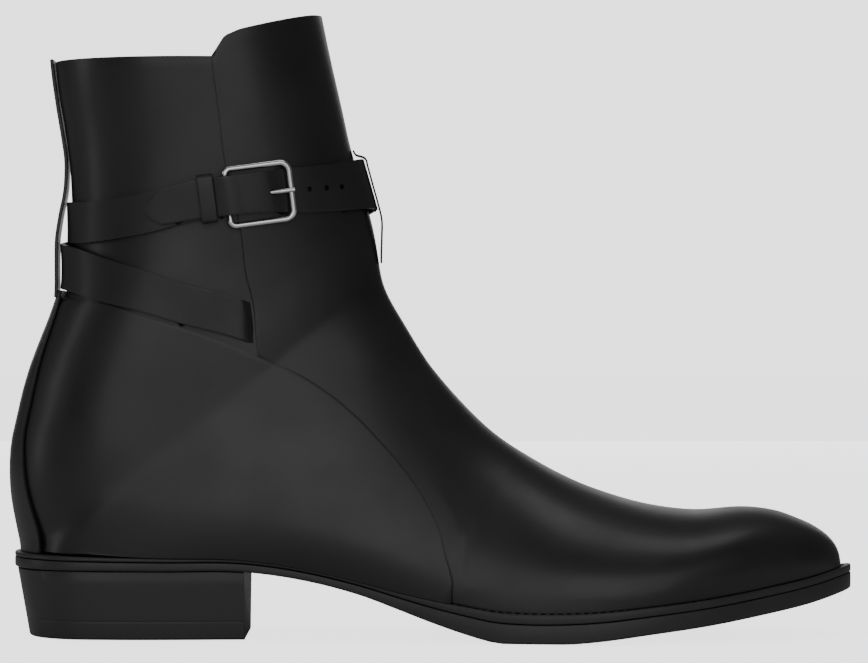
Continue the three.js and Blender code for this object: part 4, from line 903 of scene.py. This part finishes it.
def sole_loop(inset, height, stations=110):
    """Places round the sole's outline at one inset, from the heel by the outer side."""
    turn = np.concatenate([np.linspace(0, np.pi, stations), np.linspace(np.pi, 0, stations)[1:]])
    side = np.concatenate([np.full(stations, OUTER), np.full(stations - 1, INNER)])
    x, y = outline_point(turn, side, inset)
    return np.stack([x, y, height(x)], -1)


def crossed(loop, share, height):
    """A loop drawn in towards the line midway between its two sides."""
    middle = (loop + loop[::-1]) / 2
    inner = middle + (loop - middle) * share
    return np.stack([inner[:, 0], inner[:, 1], height(inner[:, 0])], -1)


def rounded_edge(height, radius, steps, upper):
    """Loops up the sole's edge that round its lower or its upper corner."""
    loops = []
    for turn in np.linspace(0, np.pi / 2, steps):
        out, rise = math.sin(turn), math.cos(turn)
        if upper:
            out, rise = rise, out
        depth = radius * (rise - 1 if upper else 1 - rise)
        loops.append(sole_loop(radius * (1 - out), lambda x: height(x) + depth))
    return loops


def closed_rings(name, rings):
    """A closed solid from rings of places."""
    return smoothed(weld(grid_piece(name, np.array(rings)), closed=True), SOLE_SHARP)


def outsole_piece():
    """The leather outsole, rounded at its edges, its two faces drawn to the middle line."""
    edge = rounded_edge(sole_underside, 0.8, 5, upper=False)
    edge.append(sole_loop(0, lambda x: (sole_underside(x) + outsole_top(x)) / 2))
    edge += rounded_edge(outsole_top, 0.35, 4, upper=True)
    shares = (0, 0.35, 0.7, 0.93)
    under = [crossed(edge[0], share, sole_underside) for share in shares]
    over = [crossed(edge[-1], share, outsole_top) for share in shares[::-1]]
    return closed_rings("sole", under + edge + over)


def welt_piece():
    """The welt, a flat ring between the outsole and the upper, rounded at its edge."""
    def low(x):
        return outsole_top(x) + GAP

    under, over = [[sole_loop(inset, face) for inset in (WELT_WIDTH, 4)] for face in (low, welt_top)]
    edge = rounded_edge(low, 0.4, 4, upper=False) + rounded_edge(welt_top, 0.7, 5, upper=True)
    return closed_rings("welt_ring", under + edge + over[::-1] + under[:1])


# Steps up the heel by share of its height: a faint line over the top piece, and the top edge
HEEL_STEPS = (
    (0.2, 0), (0.225, 0), (0.232, 0.05), (0.24, 0.05), (0.247, 0), (0.27, 0), (0.4, 0), (0.6, 0),
    (0.8, 0), (0.985, 0), (1, 0.25),
)


def heel_piece():
    """The heel block, drawn in downwards, hollow at its breast."""
    breast = math.acos(1 - 2 * HEEL_LENGTH / SOLE_LENGTH)
    turns = np.linspace(-1, 1, 97)

    def loop_at(inset, pitch, height):
        x, y = outline_point(breast * np.abs(turns), np.where(turns < 0, OUTER, INNER), inset)
        x = np.minimum(x + pitch * (1 - x / HEEL_LENGTH), HEEL_LENGTH)
        across = np.linspace(0, 1, 26)[1:]
        hollow_x = HEEL_LENGTH - HEEL_HOLLOW * np.sin(np.pi * across)
        x = np.concatenate([x, hollow_x])
        y = np.concatenate([y, y[-1] + (y[0] - y[-1]) * across])
        return np.stack([x, y, height(x)], -1)

    def at(share, inset):
        taper = 1 - share
        return loop_at(
            1 + inset + HEEL_TAPER * taper, HEEL_PITCH * taper + inset,
            lambda x: 1 + (sole_underside(x) - GAP - 1) * share,
        )

    loops = []
    for turn in (0, *np.linspace(0.4, np.pi / 2, 4)):
        inset, rise = 0.6 * (1 - math.sin(turn)), 1 - math.cos(turn)
        loops.append(loop_at(1 + HEEL_TAPER + inset, HEEL_PITCH + inset, lambda x: 0 * x + rise))
    loops += [at(share, inset) for share, inset in HEEL_STEPS]
    return closed_rings("heel_block", loops)


def stitch_row(name, points, ups, length, thickness):
    """A row of stitches: one bead modelled once and laid at every place."""
    bpy.ops.object.select_all(action="DESELECT")
    bpy.ops.mesh.primitive_uv_sphere_add(segments=6, ring_count=4, radius=1)
    bead = bpy.context.object
    corners = np.array([vertex.co for vertex in bead.data.vertices])
    faces = [list(face.vertices) for face in bead.data.polygons]
    bpy.data.objects.remove(bead)
    course = np.gradient(points, axis=0)
    course /= np.linalg.norm(course, axis=1, keepdims=True)
    across = np.cross(ups, course)
    places, polygons = [], []
    for place, along, side, up in zip(points, course, across, ups):
        first = len(places) * len(corners)
        places.append(
            place + corners[:, :1] * along * length / 2 + corners[:, 1:2] * side * thickness / 2
            + corners[:, 2:] * up * thickness / 2
        )
        polygons += [[first + k for k in face] for face in faces]
    mesh = bpy.data.meshes.new(name)
    mesh.from_pydata(to_frame(np.concatenate(places)).tolist(), [], polygons)
    piece = bpy.data.objects.new(name, mesh)
    bpy.context.collection.objects.link(piece)
    weld(piece, closed=True)
    only(piece)
    bpy.ops.object.shade_smooth()
    return piece


def even_steps(line, pitch):
    """Places at one pitch along a line."""
    length = np.concatenate([[0], np.cumsum(np.linalg.norm(np.diff(line, axis=0), axis=1))])
    steps = np.arange(pitch / 2, length[-1], pitch)
    return np.stack([np.interp(steps, length, line[:, k]) for k in range(3)], -1)


def welt_stitches(length, pitch):
    """The welt seam round the forepart and waist, from breast to breast."""
    loop = sole_loop(2.9, lambda x: welt_top(x) + 0.1, 400)
    points = even_steps(loop[loop[:, 0] > HEEL_LENGTH * 0.96], pitch)
    ups = np.broadcast_to(np.array([0.0, 0.0, 1.0]), points.shape)
    return stitch_row("welt_stitches", points, ups, length, 0.75)


def place_node(tree, kind, values=None, **settings):
    """Add a shader node with its settings and the values of its inputs."""
    node = tree.nodes.new("ShaderNode" + kind)
    for key, value in settings.items():
        setattr(node, key, value)
    for key, value in (values or {}).items():
        node.inputs[key].default_value = value
    return node


def link_nodes(tree, *links):
    """Join sockets: each link is a node, its output, the next node and its input."""
    for start, output, finish, entry in links:
        tree.links.new(start.outputs[output], finish.inputs[entry])


def leather_grain_group():
    """Pores, fine creases and slow mottling, shared by every leather."""
    group = bpy.data.node_groups.get("Leather grain")
    if group:
        return group
    group = bpy.data.node_groups.new("Leather grain", "ShaderNodeTree")
    for name in ("Pore scale", "Pore depth", "Mottle scale"):
        group.interface.new_socket(name, in_out="INPUT", socket_type="NodeSocketFloat")
    group.interface.items_tree["Mottle scale"].default_value = 35
    group.interface.new_socket("Normal", in_out="OUTPUT", socket_type="NodeSocketVector")
    group.interface.new_socket("Mottle", in_out="OUTPUT", socket_type="NodeSocketFloat")
    inputs, outputs = group.nodes.new("NodeGroupInput"), group.nodes.new("NodeGroupOutput")
    place = place_node(group, "TexCoord")
    pores = place_node(group, "TexVoronoi", feature="SMOOTH_F1")
    creases = place_node(group, "TexNoise", {"Scale": 420, "Detail": 4})
    mottle = place_node(group, "TexNoise", {"Detail": 3})
    height = place_node(group, "Math", {1: 0.6}, operation="MULTIPLY_ADD")
    bump = place_node(group, "Bump", {"Distance": 0.0002})
    link_nodes(
        group,
        (place, "Object", pores, "Vector"), (place, "Object", creases, "Vector"),
        (place, "Object", mottle, "Vector"), (inputs, "Pore scale", pores, "Scale"),
        (inputs, "Mottle scale", mottle, "Scale"), (inputs, "Pore depth", bump, "Strength"),
        (pores, "Distance", height, 0), (creases, "Fac", height, 2), (height, 0, bump, "Height"),
        (bump, "Normal", outputs, "Normal"), (mottle, "Fac", outputs, "Mottle"),
    )
    return group


def new_material(name):
    """A material with its shader, to be given its own finish."""
    material = bpy.data.materials.new(name)
    material.use_nodes = True
    return material, material.node_tree, material.node_tree.nodes["Principled BSDF"]


def leather(name, colour, roughness, coat, pore_scale, pore_depth, lighter=1.6):
    """A leather finish: mottled colour and gloss over the shared grain."""
    if name in bpy.data.materials:
        return bpy.data.materials[name]
    material, tree, shader = new_material(name)
    shader.inputs["Coat Weight"].default_value = coat
    shader.inputs["Coat Roughness"].default_value = 0.22
    grain = place_node(tree, "Group", node_tree=leather_grain_group())
    grain.inputs["Pore scale"].default_value = pore_scale
    grain.inputs["Pore depth"].default_value = pore_depth
    mottled = {"A": (*colour, 1), "B": (*[channel * lighter for channel in colour], 1)}
    tint = place_node(tree, "Mix", mottled, data_type="RGBA")
    gloss = place_node(tree, "MapRange", {
        "From Min": 0.3, "From Max": 0.7,
        "To Min": roughness - GLOSS_SPREAD, "To Max": roughness + GLOSS_SPREAD,
    })
    link_nodes(
        tree,
        (grain, "Mottle", tint, "Factor"), (grain, "Mottle", gloss, "Value"),
        (tint, "Result", shader, "Base Color"), (gloss, "Result", shader, "Roughness"),
        (grain, "Normal", shader, "Normal"),
    )
    return material


def polished_steel():
    """Bright steel with the fine drift of hand polishing."""
    if "Polished steel" in bpy.data.materials:
        return bpy.data.materials["Polished steel"]
    material, tree, shader = new_material("Polished steel")
    shader.inputs["Metallic"].default_value = 1
    shader.inputs["Base Color"].default_value = (0.82, 0.82, 0.81, 1)
    place = place_node(tree, "TexCoord")
    drift = place_node(tree, "TexNoise", {"Scale": 900, "Detail": 5})
    gloss = place_node(tree, "MapRange", {"To Min": 0.14, "To Max": 0.3})
    bump = place_node(tree, "Bump", {"Strength": 0.06, "Distance": 0.0001})
    link_nodes(
        tree,
        (place, "Object", drift, "Vector"), (drift, "Fac", gloss, "Value"),
        (drift, "Fac", bump, "Height"), (gloss, "Result", shader, "Roughness"),
        (bump, "Normal", shader, "Normal"),
    )
    return material


def finish(name):
    """One of the boot's leather finishes in the colours that the user set."""
    looks = bpy.context.scene.boot_looks
    polish = looks.calf_roughness
    return {
        "calf": lambda: leather("Black calf", looks.calf_colour, polish, 0.16, 1500, 0.1),
        "strap": lambda: leather("Strap calf", looks.calf_colour, polish + 0.05, 0.12, 1700, 0.12),
        "edge": lambda: leather("Inked sole edge", looks.edge_colour, 0.5, 0.08, 900, 0.16, 1.35),
        "lining": lambda: leather("Lining hide", looks.lining_colour, 0.6, 0.0, 1200, 0.22, 1.3),
        "thread": lambda: leather("Waxed thread", looks.thread_colour, 0.5, 0.05, 2600, 0.5, 1.5),
    }[name]()


def colour(name, description, default):
    """A colour that a user can change."""
    return bpy.props.FloatVectorProperty(
        name=name, description=description, subtype="COLOR", size=3, min=0, max=1, default=default,
    )


class BootLooks(bpy.types.PropertyGroup):
    """Sizes and colours of the boot that a user would change."""

    calf_colour: colour("Calf", "Colour of the uppers and straps", (0.0085, 0.0085, 0.009))
    edge_colour: colour("Sole edge", "Colour of the inked welt, sole and heel", (0.022, 0.022, 0.022))
    lining_colour: colour("Lining", "Colour of the lining and sock", (0.02, 0.018, 0.016))
    thread_colour: colour("Thread", "Colour of the welt stitching", (0.02, 0.02, 0.02))
    calf_roughness: bpy.props.FloatProperty(
        name="Calf roughness", description="Polish of the calf, lower is glossier", subtype="FACTOR",
        min=0.15, max=0.9, default=0.43,
    )
    stitch_length: bpy.props.FloatProperty(
        name="Stitch length", description="Length of one welt stitch", subtype="DISTANCE", unit="LENGTH",
        min=0.001, max=0.006, default=0.0022,
    )
    stitch_pitch: bpy.props.FloatProperty(
        name="Stitch pitch", description="Distance from one welt stitch to the next", subtype="DISTANCE",
        unit="LENGTH", min=0.002, max=0.01, default=0.0031,
    )


class StageLooks(bpy.types.PropertyGroup):
    """The plain studio round the boot."""

    floor_colour: colour("Floor", "Colour of the floor", (0.8, 0.8, 0.8))
    camera_distance: bpy.props.FloatProperty(
        name="Camera distance", description="From the middle of the boot to the camera",
        subtype="DISTANCE", unit="LENGTH", min=0.6, max=4, default=1.355,
    )
    softbox_power: bpy.props.FloatProperty(
        name="Softbox power", description="Power of the large light on the camera's side",
        subtype="POWER", unit="POWER", min=0, max=200, default=12,
    )


class BOOT_OT_lining(bpy.types.Operator):
    """Line the whole boot and finish the sock inside it"""

    bl_idname = "boot.lining"
    bl_label = "Lining"

    def execute(self, context):
        dressed(lining_sheet(), "lining", finish("lining"), "upper")
        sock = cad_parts["insole"]
        sock.data.materials.clear()
        sock.data.materials.append(finish("lining"))
        return {"FINISHED"}


class BOOT_OT_leathers(bpy.types.Operator):
    """Cut the leg, the vamp with its front panel, and the quarter"""

    bl_idname = "boot.leathers"
    bl_label = "Leathers"

    def execute(self, context):
        dressed(leg_back_sheet(), "calf", finish("calf"), "upper")
        dressed(front_sheet(), "calf", finish("calf"), "upper")
        dressed(quarter_sheet(), "calf", finish("calf"), "quarter")
        return {"FINISHED"}


class BOOT_OT_backstay(bpy.types.Operator):
    """Sew the back strip with its loop and its patch"""

    bl_idname = "boot.backstay"
    bl_label = "Backstay"

    def execute(self, context):
        dressed(backstay_piece(), "calf", finish("calf"), "backstay")
        return {"FINISHED"}


class BOOT_OT_straps(bpy.types.Operator):
    """Wrap both straps round the leg with their keeper and front loop"""

    bl_idname = "boot.straps"
    bl_label = "Straps"

    def execute(self, context):
        dressed(wrap_strap_piece(), "strap_leather", finish("strap"), "wrap_strap")
        dressed(strap_sheet("short_strap", BUCKLE_STRAP, 1), "strap_leather", finish("strap"), "buckle_strap")
        dressed(keeper_piece(), "strap_leather", finish("strap"), "strap_keeper")
        dressed(front_loop_piece(), "strap_leather", finish("strap"), "front_loop")
        return {"FINISHED"}


class BOOT_OT_buckle(bpy.types.Operator):
    """Bend the buckle's frame and its prong"""

    bl_idname = "boot.buckle"
    bl_label = "Buckle"

    def execute(self, context):
        dressed(buckle_frame_piece(), "steel", polished_steel(), "buckle_frame")
        dressed(prong_piece(), "steel", polished_steel(), "buckle_prong")
        return {"FINISHED"}


class BOOT_OT_sole(bpy.types.Operator):
    """Build the welt with its seam, the outsole and the heel"""

    bl_idname = "boot.sole"
    bl_label = "Sole"

    def execute(self, context):
        looks = context.scene.boot_looks
        dressed(welt_piece(), "sole_edge", finish("edge"), "welt")
        dressed(outsole_piece(), "sole_edge", finish("edge"), "outsole")
        dressed(heel_piece(), "sole_edge", finish("edge"), "heel")
        seam = welt_stitches(looks.stitch_length * 1000, looks.stitch_pitch * 1000)
        dressed(seam, "sole_edge", finish("thread"))
        return {"FINISHED"}


# The lights from above, behind and beside the heel: place, aim, width, height and power
SOFT_LIGHTS = {
    "top_box": ((0.1, 0.1, 1.7), (0.1, 0, 0.1), 1.6, 0.7, 5.0),
    "fill_box": ((0.1, 2.3, 0.5), (0.1, 0, 0.1), 2.4, 1.4, 9.0),
    "heel_box": ((-1.3, -0.1, 0.35), (0, 0, 0.1), 0.3, 0.9, 1.2),
}
STUDIO_DIM, STUDIO_WHITE, FLOOR_GLOW = 0.1, 2.4, 2.25


def softbox(name, place, aim, width, height, power):
    """An area light that looks at a place."""
    lamp = bpy.data.lights.new(name, "AREA")
    lamp.shape = "RECTANGLE"
    lamp.size, lamp.size_y, lamp.energy = width, height, power
    light = bpy.data.objects.new(name, lamp)
    bpy.context.collection.objects.link(light)
    light.location = place
    light.rotation_mode = "QUATERNION"
    light.rotation_quaternion = (Vector(aim) - Vector(place)).to_track_quat("-Z", "Y")
    return light


class BOOT_OT_stage(bpy.types.Operator):
    """Set the pale floor, the soft lights and the camera"""

    bl_idname = "boot.stage"
    bl_label = "Stage"

    def execute(self, context):
        stage = context.scene.boot_stage
        bpy.ops.object.select_all(action="DESELECT")
        bpy.ops.mesh.primitive_circle_add(vertices=96, radius=8, fill_type="NGON", location=(0, 0, -0.0003))
        floor = named(bpy.context.object, "floor")
        bpy.ops.object.transform_apply(location=True, rotation=True, scale=True)
        floor.data.materials.append(self.floor_paint(stage))
        self.light_world(context)
        softbox("softbox", (0.12, -1.6, 0.42), (0.1, 0, 0.1), 2.2, 1.5, stage.softbox_power)
        for name, settings in SOFT_LIGHTS.items():
            softbox(name, *settings)
        lens = bpy.data.cameras.new("camera")
        lens.sensor_width, lens.lens = 36, 151.5
        camera = bpy.data.objects.new("camera", lens)
        bpy.context.collection.objects.link(camera)
        camera.location = (0.112, -stage.camera_distance, 0.112)
        camera.rotation_euler = (math.pi / 2, 0, 0)
        context.scene.camera = camera
        return {"FINISHED"}

    def floor_paint(self, stage):
        """Pale matt paint that the camera sees as bright as the studio behind it."""
        paint, tree, shader = new_material("Floor paint")
        shader.inputs["Roughness"].default_value = 0.85
        shader.inputs["Specular IOR Level"].default_value = 0.2
        pale = stage.floor_colour[0]
        place, ray = place_node(tree, "TexCoord"), place_node(tree, "LightPath")
        drift = place_node(tree, "TexNoise", {"Scale": 3})
        tone = place_node(tree, "MapRange", {"To Min": pale - 0.02, "To Max": pale + 0.02})
        level = place_node(tree, "Math", {1: FLOOR_GLOW}, operation="MULTIPLY")
        glow, both = place_node(tree, "Emission"), place_node(tree, "AddShader")
        link_nodes(
            tree,
            (place, "Object", drift, "Vector"), (drift, "Fac", tone, "Value"),
            (tone, "Result", shader, "Base Color"), (ray, "Is Camera Ray", level, 0),
            (level, 0, glow, "Strength"), (shader, 0, both, 0), (glow, 0, both, 1),
            (both, 0, tree.nodes["Material Output"], "Surface"),
        )
        return paint

    def light_world(self, context):
        """A studio that is white to the camera and dim to the boot."""
        world = context.scene.world = bpy.data.worlds.new("Studio")
        world.use_nodes = True
        tree = world.node_tree
        back = tree.nodes["Background"]
        back.inputs["Color"].default_value = (1, 1, 1, 1)
        ray = place_node(tree, "LightPath")
        level = place_node(tree, "MapRange", {"To Min": STUDIO_DIM, "To Max": STUDIO_WHITE})
        link_nodes(
            tree, (ray, "Is Camera Ray", level, "Value"), (level, "Result", back, "Strength"),
        )


STEPS = (
    BOOT_OT_lining, BOOT_OT_leathers, BOOT_OT_backstay, BOOT_OT_straps, BOOT_OT_buckle, BOOT_OT_sole,
    BOOT_OT_stage,
)


class BOOT_PT_workshop(bpy.types.Panel):
    """The steps of the boot, from lining to stage"""

    bl_idname = "BOOT_PT_workshop"
    bl_label = "Jodhpur boot"
    bl_space_type = "VIEW_3D"
    bl_region_type = "UI"
    bl_category = "Boot"

    def draw(self, context):
        for looks in (context.scene.boot_looks, context.scene.boot_stage):
            box = self.layout.box()
            for name in looks.__annotations__:
                box.prop(looks, name)
        for step in STEPS:
            self.layout.operator(step.bl_idname)


CLASSES = (BootLooks, StageLooks, *STEPS, BOOT_PT_workshop)


def register():
    for kind in CLASSES:
        bpy.utils.register_class(kind)
    bpy.types.Scene.boot_looks = bpy.props.PointerProperty(type=BootLooks)
    bpy.types.Scene.boot_stage = bpy.props.PointerProperty(type=StageLooks)


def unregister():
    del bpy.types.Scene.boot_stage
    del bpy.types.Scene.boot_looks
    for kind in reversed(CLASSES):
        bpy.utils.unregister_class(kind)


def main():
    """Build the whole boot in order."""
    register()
    for step in (
        bpy.ops.boot.lining, bpy.ops.boot.leathers, bpy.ops.boot.backstay, bpy.ops.boot.straps,
        bpy.ops.boot.buckle, bpy.ops.boot.sole, bpy.ops.boot.stage,
    ):
        step()
    bpy.context.view_layer.update()


if __name__ == "__main__":
    main()
